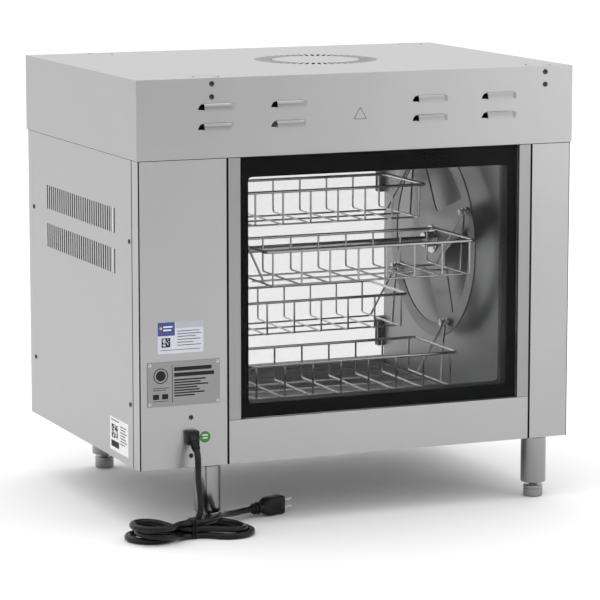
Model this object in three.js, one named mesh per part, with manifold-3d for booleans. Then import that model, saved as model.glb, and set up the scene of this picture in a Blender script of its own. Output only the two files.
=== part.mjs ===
// Countertop rotisserie oven with a four-basket carousel. Millimetres, +Z up.
// The customer-side window faces +Y, the operator's door -Y, the control compartment is at +X.
// The body is modelled about its own middle, and the whole group is then moved along Y so
// that the origin is at the middle of the overall box, on the standing surface.
import * as THREE from "three";
import { mergeVertices } from "three/addons/utils/BufferGeometryUtils.js";
import { ConvexGeometry } from "three/addons/geometries/ConvexGeometry.js";
import Module from "manifold-3d";

// ---- driving dimensions -------------------------------------------------------------------

const bodyWidth = 740;
const bodyDepth = 535;
const bodyHeight = 481; // underside of the body to the hood's lower edge
const legHeight = 101.5; // standing surface to the underside of the body
const hoodHeight = 123.5;
const hoodProud = 2; // the hood stands out this far past the body on every side
const hoodLap = 30; // the body's panels run up behind the hood's skirt
const sheet = 1.2; // stainless sheet
const gap = 0.4; // between pieces that touch

const controlWidth = 147; // control compartment's face, front and rear
const cornerWidth = 69; // narrow corner panel's face, front and rear
const jambWidth = 21.5;
const rearFlange = 28; // rear panels wrap this far onto the sides
const frontFlange = 19;
const sillHeight = 69;
const returnDepth = 13; // folded edges of the sill and the jambs

const glassRecess = 1.5;
const outerPane = 5;
const innerPane = 4;
const paneGap = 10;

const cavityInsetPlain = 20; // cavity wall behind the window's edge
const cavityInsetControl = 36;
const cavityFloorRise = 8; // over the base pan's underside
const cavityTopRise = 30; // over the hood's lower edge

const doorRise = 51.5; // over the body's underside
const doorHeader = 63.5; // between the door and the hood's lower edge
const doorThickness = 6;
const doorClearance = 3;
const hingeHeight = 52;
const hingeInset = 20; // from the glass's lower and upper edges
const hingeLeaf = 26; // how far a leaf reaches over the glass
const hingePlate = 1.6; // leaf outside the glass
const innerLeaf = 3; // leaf behind the glass
const hingeBarrel = 4; // radius
const hingePin = 2; // radius
const handleLength = 170;
const handleReach = 38;
const handleRadius = 8;
const handleInset = 26; // from the glass's free edge

const wheelSheet = 2.5;
const wheelGap = 28; // from each wheel's middle plane to the cavity wall
const wheelMargin = 18; // outside the pins
const windowMargin = 23; // between a window and the rim
const windowInner = 50;
const windowHalfAngle = 35; // degrees
const hubRadius = 13;
const hubLength = 18;
const shaftRadius = 6;
const bushRadius = 10; // bearings at the shaft's ends
const pinPhase = 25.3; // degrees, first pin over the rear horizontal
const basketCount = 4;
const pinRadius = 3;
const pinLength = 12;
const runningGap = 0.6; // round moving pins and shafts

const hangerRoom = 19; // from a wheel's middle plane to the baskets' ends
const basketSpacing = 39.5; // between neighbouring baskets that are at one height
const basketRearGap = 17.5; // to the inner pane
const basketTrayGap = 11.9; // over the drip tray's edge
const basketShaftGap = 15; // over the shaft, from a basket at the top
const wheelElementGap = 23.5; // under the heating elements
const basketDeepest = 54.8; // rim to floor wires, where the height leaves room for it
const basketDrop = 36.6; // pin to rim
const rimWire = 5;
const crossWire = 3.2;
const hangerWire = 3.6;
const crossWires = 8;
const crossInset = 15; // end cross wires from the basket's ends
const floorWires = 3;
const hangerSpread = 92; // between a hanger's feet

const legRadius = 20.65;
const legInsetControl = 121; // leg centre from the control side
const legInsetPlain = 47;
const legInsetFaces = 25; // leg centre from the front and rear faces
const footRadius = 16;
const footHeight = 20;
const footStem = 6.5; // radius
const footTravel = 20;

const ventOffset = 8; // from the cavity's middle
const ventInner = 71.5;
const ventOuter = 101;
const ventSlots = 56;
const ventSlotWidth = 5;
const markRadius = 21;
const markDepth = 0.6;

const sideSlots = 32;
const sideSlotPitch = 10.6;
const sideSlotWidth = 5;
const sideSlotHeight = 39;
const sideSlotDrops = [186, 122.5]; // lower edges under the hood's lower edge

const louvreLength = 61;
const louvreHeight = 11;
const louvreProud = 5;
const louvreMouth = 9; // open end
const louvreRoot = 0.2; // how far a louvre reaches into the sheet that it is pressed from
const louvreOffsets = [120.3, 241.1]; // from the middle of the rear face
const louvreRises = [43.5, 74]; // lower edges over the hood's lower edge

const trayHeight = 32;
const trayRise = 11; // over the body's underside
const traySideGap = 6;
const trayRearGap = 18.1; // to the inner pane
const trayFrontLap = 3;
const trayLip = 20;

const elementRadius = 4;
const elementSpan = 80; // between a hairpin's legs
const elementOffset = 95; // hairpin's middle from the oven's middle
const elementDrop = 24; // under the cavity's ceiling
const lampRadius = 24;

const knobRadius = 21;
const knobDepth = 22;
const knobShaft = 3; // radius
const thermostatDrop = 101; // under the hood's lower edge
const timerDrop = 191;
const switchDrop = 276;
const switchSpread = 44;
const rockerWidth = 14;
const rockerHeight = 24;
const rockerTilt = 7; // degrees each way
const pilotDrop = 41;

const plateWidth = 120;
const plateHeight = 69.7;
const plateRise = 99.2; // over the body's underside
const plateInset = 13; // from the control side
const plateThickness = 0.8;

const cordRadius = 5;
const cordCorner = [370, 267.5]; // the body's corner when the cord's points were chosen
const cordInset = 85; // gland's middle from the control side
const cordRise = 48; // gland's middle over the body's underside
const glandSize = 21;
const glandDepth = 10;
const sleeveLength = 24;
const sleeveSlope = 45; // degrees below the horizontal
const hankLength = 206;
const hankWidth = 90;
const hankHeight = 26;
const hankPlace = [305, 311];
const tieOffset = -4; // from the hank's middle
const tieWidth = 9;
const tieThickness = 2;
const plugPlace = [167.8, 223.9, 15.4]; // where the cord enters the plug
const plugTurn = 199; // degrees, the blades' direction in plan
const plugHeight = 30;

// ---- places that follow from them ---------------------------------------------------------

const halfW = bodyWidth / 2;
const halfD = bodyDepth / 2;
const underside = legHeight;
const hoodBottom = underside + bodyHeight;
const hoodTop = hoodBottom + hoodHeight;
const panelTop = hoodBottom + hoodLap;
const sillTop = underside + sillHeight;
const faceLeft = -halfW + cornerWidth; // faces between the corner panels and the controls
const faceRight = halfW - controlWidth;

const paneFront = halfD - glassRecess;
const paneBack = paneFront - outerPane;
const innerFront = paneBack - paneGap;
const innerBack = innerFront - innerPane;

const cavityLeft = faceLeft + cavityInsetPlain;
const cavityRight = faceRight - cavityInsetControl;
const cavityCentreX = (cavityLeft + cavityRight) / 2;
const cavityFloor = underside + cavityFloorRise;
const cavityTop = hoodBottom + cavityTopRise;

const doorBottom = underside + doorRise;
const doorTop = hoodBottom - doorHeader;
const doorFront = -halfD;
const doorBack = doorFront + doorThickness;
const hingeX = faceLeft - 2;
const hingeY = doorFront - gap - hingeBarrel;
const doorLeft = faceLeft + 2 * doorClearance;
const doorRight = faceRight - doorClearance;
const frameFront = doorBack + innerLeaf + 3 * gap; // the frame that the door closes against
const frameBack = frameFront + sheet;
const frontReach = halfD + handleReach + handleRadius;
const rearReach = halfD + hoodProud + louvreProud;

// The pins' circle is the largest that the cavity's depth and height leave room for.
const trayTop = underside + trayRise + trayHeight;
const elementZ = cavityTop - elementDrop;
const highestPin = elementZ - elementRadius - wheelElementGap - wheelMargin;
const pinRoom = highestPin - trayTop - basketTrayGap - basketDrop - crossWire;
const shaftRoom = pinRoom / 2 - basketDrop - crossWire - shaftRadius - basketShaftGap;
const basketDepth = Math.min(basketDeepest, shaftRoom / 1.5);
const lowestPin = highestPin - pinRoom + basketDepth;
const shaftZ = (highestPin + lowestPin) / 2;
const widestCircle = (innerBack - basketRearGap + basketSpacing / 2) / (1 + Math.SQRT1_2);
const pinCircle = Math.min(widestCircle, (highestPin - lowestPin) / 2);
const wheelRadius = pinCircle + wheelMargin;
const windowOuter = wheelRadius - windowMargin;
const basketWidth = pinCircle * Math.SQRT2 - basketSpacing;
const wheelLeft = cavityLeft + wheelGap;
const wheelRight = cavityRight - wheelGap;
const basketLength = wheelRight - wheelLeft - 2 * hangerRoom;
const shaftEndLeft = cavityLeft - 9;
const shaftEndRight = cavityRight + 33;
const controlX = (faceRight + halfW) / 2;
const plateY = halfD;
const thermostatZ = hoodBottom - thermostatDrop;
const timerZ = hoodBottom - timerDrop;
const switchZ = hoodBottom - switchDrop;
const pilotZ = hoodBottom - pilotDrop;
const ventX = cavityCentreX + ventOffset;
const glandZ = underside + cordRise;
const cordX = halfW - cordInset;
const cordShift = [halfW - cordCorner[0], halfD - cordCorner[1], 0]; // it moves with the corner
const hankCentre = [hankPlace[0] + cordShift[0], hankPlace[1] + cordShift[1]];

// ---- building blocks ----------------------------------------------------------------------

const wasm = await Module();
wasm.setup();

// A three.js geometry as a solid that can be joined and cut.
function solidOf(geometry) {
  const bare = geometry.index ? geometry.toNonIndexed() : geometry.clone();
  bare.deleteAttribute("normal");
  bare.deleteAttribute("uv");
  const merged = mergeVertices(bare, 1e-4);
  return new wasm.Manifold(
    new wasm.Mesh({
      numProp: 3,
      vertProperties: merged.attributes.position.array,
      triVerts: new Uint32Array(merged.index.array),
    }),
  );
}

// A joined or cut solid back as a three.js geometry.
function geometryOf(solid) {
  const mesh = solid.getMesh();
  const geometry = new THREE.BufferGeometry();
  geometry.setAttribute("position", new THREE.BufferAttribute(mesh.vertProperties, 3));
  geometry.setIndex(new THREE.BufferAttribute(mesh.triVerts, 1));
  const flat = geometry.toNonIndexed();
  flat.computeVertexNormals();
  return flat;
}

const joined = (pieces) => pieces.reduce((sum, piece) => sum.add(piece));
const cutBy = (solid, pieces) => pieces.reduce((rest, piece) => rest.subtract(piece), solid);

function box([x0, x1], [y0, y1], [z0, z1]) {
  const geometry = new THREE.BoxGeometry(x1 - x0, y1 - y0, z1 - z0);
  return solidOf(geometry.translate((x0 + x1) / 2, (y0 + y1) / 2, (z0 + z1) / 2));
}

// A flat outline pushed along one axis, from one place on it to another.
// Along Z the outline is in X and Y, along X in Y and Z, and along Y in X and Z.
function prism(axis, outline, from, to, holes = []) {
  const shape = new THREE.Shape(outline.map(([a, b]) => new THREE.Vector2(a, b)));
  shape.holes = holes.map((hole) => new THREE.Path(hole.map(([a, b]) => new THREE.Vector2(a, b))));
  const geometry = new THREE.ExtrudeGeometry(shape, { depth: to - from, bevelEnabled: false });
  const turn = {
    Z: new THREE.Matrix4(),
    X: new THREE.Matrix4().makeBasis(
      new THREE.Vector3(0, 1, 0), new THREE.Vector3(0, 0, 1), new THREE.Vector3(1, 0, 0)),
    Y: new THREE.Matrix4().makeBasis(
      new THREE.Vector3(1, 0, 0), new THREE.Vector3(0, 0, 1), new THREE.Vector3(0, -1, 0)),
  }[axis];
  geometry.applyMatrix4(turn);
  const start = { Z: [0, 0, from], X: [from, 0, 0], Y: [0, to, 0] }[axis];
  return solidOf(geometry.translate(...start));
}

// A round bar between two points.
function bar(radius, from, to, sides = 16) {
  const start = new THREE.Vector3(...from);
  const along = new THREE.Vector3(...to).sub(start);
  const geometry = new THREE.CylinderGeometry(radius, radius, along.length(), sides);
  const turn = new THREE.Quaternion().setFromUnitVectors(
    new THREE.Vector3(0, 1, 0), along.clone().normalize());
  geometry.applyQuaternion(turn);
  const middle = start.addScaledVector(along, 0.5);
  return solidOf(geometry.translate(middle.x, middle.y, middle.z));
}

// A profile of [radius, height] points turned about the vertical axis through (x, y).
function turned(profile, sides, x = 0, y = 0, z = 0) {
  const points = profile.map(([r, h]) => new THREE.Vector2(r, h));
  const geometry = new THREE.LatheGeometry(points, sides).rotateX(Math.PI / 2);
  return solidOf(geometry.translate(x, y, z));
}

// A round tube along a smooth curve.
function tube(radius, curve, steps, sides = 8) {
  const section = new THREE.Shape();
  section.absarc(0, 0, radius, 0, 2 * Math.PI);
  const outline = section.getPoints(sides / 2).slice(0, -1);
  const settings = { steps, extrudePath: curve, curveSegments: sides / 2 };
  return new THREE.ExtrudeGeometry(new THREE.Shape(outline), settings);
}

const onCircle = (radius, degrees) => [
  radius * Math.cos(THREE.MathUtils.degToRad(degrees)),
  radius * Math.sin(THREE.MathUtils.degToRad(degrees)),
];

const stainless = () => new THREE.MeshStandardMaterial({
  color: 0xb4b6b8, roughness: 0.34, metalness: 1 });
const polished = () => new THREE.MeshStandardMaterial({
  color: 0xc4c6c8, roughness: 0.16, metalness: 1 });
const chrome = () => new THREE.MeshStandardMaterial({
  color: 0xd2d4d6, roughness: 0.1, metalness: 1 });
const darkSteel = () => new THREE.MeshStandardMaterial({
  color: 0x4a4a4c, roughness: 0.45, metalness: 0.9 });
const glass = () => new THREE.MeshStandardMaterial({
  color: 0xdfe8e6, roughness: 0.04, metalness: 0, transparent: true, opacity: 0.25 });
const plastic = () => new THREE.MeshStandardMaterial({
  color: 0x151515, roughness: 0.5, metalness: 0 });
const rubber = () => new THREE.MeshStandardMaterial({
  color: 0x101010, roughness: 0.75, metalness: 0 });
const amber = () => new THREE.MeshStandardMaterial({
  color: 0xd9741e, roughness: 0.25, metalness: 0 });

const oven = new THREE.Group();

function add(name, shape, material) {
  const geometry = shape.isBufferGeometry ? shape : geometryOf(shape);
  const mesh = new THREE.Mesh(geometry, material);
  mesh.name = name;
  oven.add(mesh);
}

// ---- casing -------------------------------------------------------------------------------

function basePan() {
  const reachX = halfW - sheet - gap;
  const reachY = halfD - sheet - gap;
  const rim = 6;
  const block = box([-reachX, reachX], [-reachY, reachY], [underside, underside + rim]);
  const hollow = box(
    [-reachX + sheet, reachX - sheet], [-reachY + sheet, reachY - sheet],
    [underside + sheet, underside + rim + 1]);
  return block.subtract(hollow);
}

// A folded panel at one corner of the body, its face on the front or rear, its flange on the side.
function cornerPanel(sideX, sideY, width, flange) {
  const outline = [
    [halfW - width + gap, halfD], [halfW, halfD], [halfW, halfD - flange],
    [halfW - sheet, halfD - flange], [halfW - sheet, halfD - sheet],
    [halfW - width + gap, halfD - sheet],
  ].map(([x, y]) => [sideX * x, sideY * y]);
  return prism("Z", outline, underside, panelTop);
}

function rearControlPanel() {
  const half = glandSize / 2 - 3;
  const hole = box(
    [cordX - half, cordX + half], [halfD - 5, halfD + 5], [glandZ - half, glandZ + half]);
  return cornerPanel(1, 1, controlWidth, rearFlange).subtract(hole);
}

function frontControlPanel() {
  const through = [doorFront - 5, doorFront + 5];
  const knobHoles = [thermostatZ, timerZ].map((z) =>
    bar(knobShaft + 1, [controlX, through[0], z], [controlX, through[1], z]));
  const pilotHole = bar(6, [controlX, through[0], pilotZ], [controlX, through[1], pilotZ]);
  const halfX = switchSpread / 2 + rockerWidth / 2 + 4;
  const halfZ = rockerHeight / 2 + 4;
  const switchHole = box([controlX - halfX, controlX + halfX], through,
    [switchZ - halfZ, switchZ + halfZ]);
  const panel = cornerPanel(1, -1, controlWidth, frontFlange);
  return cutBy(panel, [...knobHoles, pilotHole, switchHole]);
}

// The side panels lie between the corner panels' flanges.
function sidePanel(side) {
  const across = side > 0 ? [halfW - sheet, halfW] : [-halfW, -halfW + sheet];
  const reach = [-halfD + frontFlange + gap, halfD - rearFlange - gap];
  return box(across, reach, [underside, panelTop]);
}

function controlSidePanel() {
  const middleY = (frontFlange - rearFlange) / 2;
  const firstY = middleY - ((sideSlots - 1) * sideSlotPitch) / 2;
  const slots = [];
  for (const drop of sideSlotDrops)
    for (let i = 0; i < sideSlots; i++) {
      const y = firstY + i * sideSlotPitch;
      slots.push(box([halfW - 5, halfW + 5],
        [y - sideSlotWidth / 2, y + sideSlotWidth / 2],
        [hoodBottom - drop, hoodBottom - drop + sideSlotHeight]));
    }
  return cutBy(sidePanel(1), slots);
}

// Corners of a pressed louvre: a flat underside and a domed back, sloping down at its end.
function louvreCorners(x, base, z, inset, mouth) {
  const high = louvreProud + louvreRoot - inset;
  const low = z + inset;
  const top = z + louvreHeight - inset;
  const left = x - louvreLength / 2 + 8 + inset;
  const right = x + louvreLength / 2 - (inset ? 0 : mouth);
  const dome = Array.from({ length: 6 }, (_, i) => {
    const [out, up] = onCircle(1, 18 * i);
    return [high * out, low + (top - low) * up];
  });
  const section = [[0, low], ...dome];
  const points = [];
  for (const end of [left, right])
    for (const [out, up] of section) points.push(new THREE.Vector3(end, base + out, up));
  points.push(new THREE.Vector3(left - 8, base, low), new THREE.Vector3(left - 8, base, top - 2));
  return points;
}

function hoodCover() {
  const reachX = halfW + hoodProud;
  const reachY = halfD + hoodProud;
  const shell = box([-reachX, reachX], [-reachY, reachY], [hoodBottom, hoodTop]).subtract(
    box([-reachX + sheet, reachX - sheet], [-reachY + sheet, reachY - sheet],
      [hoodBottom - 1, hoodTop - sheet]));

  const vents = [];
  for (let i = 0; i < ventSlots; i++) {
    const slot = new THREE.BoxGeometry(ventOuter - ventInner, ventSlotWidth, 10)
      .translate((ventInner + ventOuter) / 2, 0, 0)
      .rotateZ((i * 2 * Math.PI) / ventSlots)
      .translate(ventX, 0, hoodTop);
    vents.push(solidOf(slot));
  }
  const marks = legPlaces().map(([x, y]) =>
    bar(markRadius, [x, y, hoodTop - markDepth], [x, y, hoodTop + 1], 24));

  const bumps = [];
  const hollows = [];
  for (const offset of louvreOffsets)
    for (const side of [-1, 1])
      for (const rise of louvreRises) {
        const z = hoodBottom + rise;
        const x = side * offset;
        const base = reachY - louvreRoot;
        const outer = new ConvexGeometry(louvreCorners(x, base, z, 0, louvreMouth));
        const inner = new ConvexGeometry(
          louvreCorners(x, base - 0.1, z, sheet * 0.75, louvreMouth));
        bumps.push(solidOf(outer));
        hollows.push(solidOf(inner));
        const tip = x + louvreLength / 2;
        const rear = x - louvreLength / 2 + 10;
        const crown = z + louvreHeight - 1.5;
        const cut = [[rear, z + 1], [tip, z + 1], [tip - 0.8, z + 4], [tip - 2.6, z + 7],
          [tip - 5, crown], [rear, crown]];
        hollows.push(prism("Y", cut, reachY - 2 * sheet, reachY));
      }
  return cutBy(joined([shell, ...bumps]), [...vents, ...marks, ...hollows]);
}

function rearSill() {
  const outline = [
    [halfD, underside], [halfD, sillTop], [halfD - returnDepth, sillTop],
    [halfD - returnDepth, sillTop - sheet], [halfD - sheet, sillTop - sheet],
    [halfD - sheet, underside],
  ];
  return prism("X", outline, faceLeft + gap, faceRight - gap);
}

// A jamb beside the window, folded inwards along the glass's edge.
function rearJamb(edge, towards) {
  const inner = edge + towards * jambWidth;
  const outline = [
    [edge + towards * gap, halfD], [inner, halfD], [inner, halfD - returnDepth],
    [inner - towards * sheet, halfD - returnDepth], [inner - towards * sheet, halfD - sheet],
    [edge + towards * gap, halfD - sheet],
  ];
  return prism("Z", outline, sillTop + gap, panelTop);
}

function rearGlassOuter() {
  const left = faceLeft + jambWidth + gap;
  const right = faceRight - jambWidth - gap;
  return box([left, right], [paneBack, paneFront], [sillTop + gap, panelTop]);
}

function rearGlassInner() {
  const lap = 8;
  return box([cavityLeft - lap, cavityRight + lap], [innerBack, innerFront],
    [sillTop - lap, cavityTop]);
}

// The frame round the door: a header, a sill with the tray's opening and a face to close on.
function frontFrame() {
  const across = [faceLeft + gap, faceRight - gap];
  const face = [doorFront, doorFront + sheet];
  const headerBottom = doorTop + doorClearance;
  const frontSillTop = doorBottom - doorClearance;
  const header = box(across, face, [headerBottom, panelTop]);
  const sill = box(across, face, [underside, frontSillTop]);
  const headerReturn = box(across, [doorFront, frameBack], [headerBottom, headerBottom + sheet]);
  const sillReturn = box(across, [doorFront, frameBack], [frontSillTop - sheet, frontSillTop]);
  const stop = box(across, [frameFront, frameBack], [frontSillTop - sheet, headerBottom + sheet]);
  const mouth = box([cavityLeft, cavityRight], [frameFront - 1, frameBack + 1],
    [frontSillTop, doorTop - doorClearance]);
  const trayHole = box(
    [cavityLeft + traySideGap - 2, cavityRight - traySideGap + 2],
    [doorFront - 1, doorFront + sheet + 1],
    [underside + trayRise - 2, underside + trayRise + trayHeight + 2]);
  return cutBy(joined([header, sill, headerReturn, sillReturn, stop]), [mouth, trayHole]);
}

function nameplate() {
  const right = halfW - plateInset;
  return box([right - plateWidth, right], [plateY + 0.3, plateY + 0.3 + plateThickness],
    [underside + plateRise, underside + plateRise + plateHeight]);
}

// ---- cavity -------------------------------------------------------------------------------

function cavityWallPlain() {
  const wall = box([cavityLeft - sheet, cavityLeft], [frameBack + gap, innerBack - gap],
    [cavityFloor, cavityTop - gap]);
  return wall.subtract(bar(bushRadius + 0.5,
    [cavityLeft - 5, 0, shaftZ], [cavityLeft + 5, 0, shaftZ], 24));
}

function cavityWallControl() {
  const through = (radius, y, z) =>
    bar(radius, [cavityRight - 5, y, z], [cavityRight + 5, y, z], 16);
  const legClear = elementRadius * Math.SQRT2 + runningGap;
  const elementHoles = [-1, 1].flatMap((side) => [-1, 1].map((leg) =>
    through(legClear, side * elementOffset + (leg * elementSpan) / 2, elementZ)));
  const wall = box([cavityRight, cavityRight + sheet], [frameBack + gap, innerBack - gap],
    [cavityFloor, cavityTop - gap]);
  return cutBy(wall, [through(bushRadius + 0.5, 0, shaftZ), ...elementHoles]);
}

function cavityBottom() {
  const rear = innerBack - gap;
  const outline = [
    [frameBack + gap, cavityFloor], [rear, cavityFloor], [rear, sillTop - 8 - gap],
    [rear - sheet, sillTop - 8 - gap], [rear - sheet, cavityFloor + sheet],
    [frameBack + gap, cavityFloor + sheet],
  ];
  return prism("X", outline, cavityLeft + gap, cavityRight - gap);
}

function cavityCeiling() {
  const ventHole = bar(ventInner - 30, [ventX, 0, cavityTop - 5], [ventX, 0, cavityTop + 5], 24);
  const plate = box([cavityLeft - sheet, cavityRight + sheet], [frameBack + gap, innerBack - gap],
    [cavityTop, cavityTop + sheet]);
  return plate.subtract(ventHole);
}

// A hairpin heater lying under the ceiling, its two ends through the control-side wall.
function heatingElement(side) {
  const y = side * elementOffset;
  const bend = elementSpan / 2;
  const turnX = cavityLeft + 30 + bend;
  const endX = cavityRight + 16;
  const arc = (radius, way) => Array.from({ length: 11 }, (_, i) => {
    const [a, b] = onCircle(radius, way * (-90 - 18 * i));
    return [turnX + a, y + b];
  });
  const outer = bend + elementRadius;
  const inner = bend - elementRadius;
  const outline = [
    [endX, y - outer], ...arc(outer, 1), [endX, y + outer],
    [endX, y + inner], ...arc(inner, -1), [endX, y - inner],
  ];
  return prism("Z", outline, elementZ - elementRadius, elementZ + elementRadius);
}

function cavityLamp(side) {
  const profile = [
    [0, -26], [lampRadius * 0.6, -23], [lampRadius * 0.9, -15], [lampRadius, -6],
    [lampRadius + 4, -6], [lampRadius + 4, -gap], [0, -gap],
  ];
  return turned(profile, 20, ventX + side * 150, 0, cavityTop);
}

// ---- door ---------------------------------------------------------------------------------

const handleX = doorRight - handleInset;
const handleMiddle = (doorBottom + doorTop) / 2;
const standoffZ = [-1, 1].map((end) => handleMiddle + end * (handleLength / 2 - 14));

function doorGlass() {
  const pane = box([doorLeft, doorRight], [doorFront, doorBack], [doorBottom, doorTop]);
  const holes = standoffZ.map((z) =>
    bar(4, [handleX, doorFront - 1, z], [handleX, doorBack + 1, z], 12));
  return cutBy(pane, holes);
}

function doorHandle() {
  const y = doorFront - handleReach;
  const grip = bar(handleRadius, [handleX, y, handleMiddle - handleLength / 2],
    [handleX, y, handleMiddle + handleLength / 2], 20);
  const posts = standoffZ.flatMap((z) => [
    bar(6, [handleX, y, z], [handleX, doorFront - gap, z]),
    bar(3, [handleX, doorFront - 1, z], [handleX, doorBack + gap + 1, z], 12),
    bar(7, [handleX, doorBack + gap, z], [handleX, doorBack + gap + 1.6, z]),
  ]);
  return joined([grip, ...posts]);
}

const hingeMiddles = [doorBottom + hingeInset, doorTop - hingeInset].map((z, i) =>
  z + (i ? -1 : 1) * (hingeHeight / 2));

// The leaf that clamps the glass, with the middle barrel of the hinge.
function doorHinge(z) {
  const upright = [z - hingeHeight / 2, z + hingeHeight / 2];
  const edge = doorLeft - gap;
  const back = [doorBack + gap, doorBack + gap + innerLeaf];
  const front = [doorFront - gap - hingePlate, doorFront - gap];
  const inner = box([edge - hingePlate, edge + hingeLeaf], back, upright);
  const outer = box([edge - hingePlate, edge + hingeLeaf], front, upright);
  const web = box([edge - hingePlate, edge], [front[0], back[1]], upright);
  const middle = [z - hingeHeight / 6, z + hingeHeight / 6];
  const arm = box([hingeX, edge], front, middle);
  const barrel = bar(hingeBarrel, [hingeX, hingeY, middle[0]], [hingeX, hingeY, middle[1]]);
  const bore = bar(hingePin + 0.3, [hingeX, hingeY, middle[0] - 1], [hingeX, hingeY, middle[1] + 1]);
  return joined([inner, outer, web, arm, barrel]).subtract(bore);
}

// The leaf on the corner panel, with the outer barrels and the pin.
function bodyHinge(z) {
  const plate = box([hingeX - hingeLeaf, hingeX - hingeBarrel / 2],
    [doorFront - gap - hingePlate, doorFront - gap], [z - hingeHeight / 2, z + hingeHeight / 2]);
  const clear = hingeHeight / 6 + gap;
  const barrels = [-1, 1].map((end) => bar(hingeBarrel,
    [hingeX, hingeY, z + (end * hingeHeight) / 2], [hingeX, hingeY, z + end * clear]));
  const webs = [-1, 1].map((end) => box(
    [hingeX - hingeBarrel, hingeX], [doorFront - gap - hingePlate, doorFront - gap],
    end > 0 ? [z + clear, z + hingeHeight / 2] : [z - hingeHeight / 2, z - clear]));
  const notch = box([hingeX - hingeBarrel - 1.4, hingeX + 1], [doorFront - 9, doorFront],
    [z - clear, z + clear]);
  const pin = bar(hingePin, [hingeX, hingeY, z - hingeHeight / 2], [hingeX, hingeY, z + hingeHeight / 2]);
  return joined([plate, ...webs, ...barrels]).subtract(notch).add(pin);
}

// ---- carousel -----------------------------------------------------------------------------

const pinPlaces = Array.from({ length: basketCount }, (_, i) => {
  const [y, z] = onCircle(pinCircle, pinPhase + (i * 360) / basketCount);
  return [y, shaftZ + z];
});

// A wheel with four windows, a hub and the basket pins, inwards being the sign of +X or -X.
function wheel(x, inwards) {
  const rim = Array.from({ length: 48 }, (_, i) => {
    const [y, z] = onCircle(wheelRadius, (i * 360) / 48);
    return [y, shaftZ + z];
  });
  const windows = pinPlaces.map((_, i) => {
    const middle = pinPhase + ((i + 0.5) * 360) / basketCount;
    const arc = Array.from({ length: 9 }, (_, k) =>
      onCircle(windowOuter, middle + windowHalfAngle * (1 - k / 4)));
    return [onCircle(windowInner, middle), ...arc].map(([y, z]) => [y, shaftZ + z]);
  });
  const half = wheelSheet / 2;
  const disc = prism("X", rim, x - half, x + half, windows);
  const face = x + inwards * half;
  const pins = pinPlaces.flatMap(([y, z]) => [
    bar(pinRadius, [x, y, z], [face + inwards * (pinLength + 0.5), y, z], 12),
    bar(pinRadius + 3, [face + inwards * pinLength, y, z],
      [face + inwards * (pinLength + 1.6), y, z], 12),
  ]);
  const hub = bar(hubRadius, [x, 0, shaftZ], [x + inwards * hubLength, 0, shaftZ], 24);
  const bore = bar(shaftRadius + gap, [x - inwards * 9, 0, shaftZ],
    [x + inwards * (hubLength + 9), 0, shaftZ], 24);
  return joined([disc, hub, ...pins]).subtract(bore);
}

function carouselShaft() {
  return bar(shaftRadius, [shaftEndLeft, 0, shaftZ], [shaftEndRight, 0, shaftZ], 24);
}

function idleBearing() {
  const sleeve = bar(bushRadius, [cavityLeft - 12, 0, shaftZ], [cavityLeft + 6, 0, shaftZ], 24);
  const flange = bar(bushRadius + 8, [cavityLeft + gap, 0, shaftZ], [cavityLeft + 6, 0, shaftZ], 24);
  const bore = bar(shaftRadius + runningGap, [cavityLeft - 20, 0, shaftZ],
    [cavityLeft + 20, 0, shaftZ], 24);
  return joined([sleeve, flange]).subtract(bore);
}

// Gearcase, motor can and mounting plate on the control side of the cavity wall.
function gearmotor() {
  const face = cavityRight + sheet + gap;
  const plate = box([face, face + 3], [-45, 45], [shaftZ - 35, shaftZ + 60]);
  const nose = bar(bushRadius, [cavityRight - 2, 0, shaftZ], [face + 5, 0, shaftZ], 24);
  const gearcase = bar(34, [face + 2, 0, shaftZ + 18], [face + 42, 0, shaftZ + 18], 24);
  const can = bar(26, [face + 41, 0, shaftZ + 18], [face + 86, 0, shaftZ + 18], 24);
  const bore = bar(shaftRadius + runningGap, [cavityRight - 5, 0, shaftZ],
    [shaftEndRight + 2, 0, shaftZ], 24);
  return joined([plate, nose, gearcase, can]).subtract(bore);
}

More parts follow.
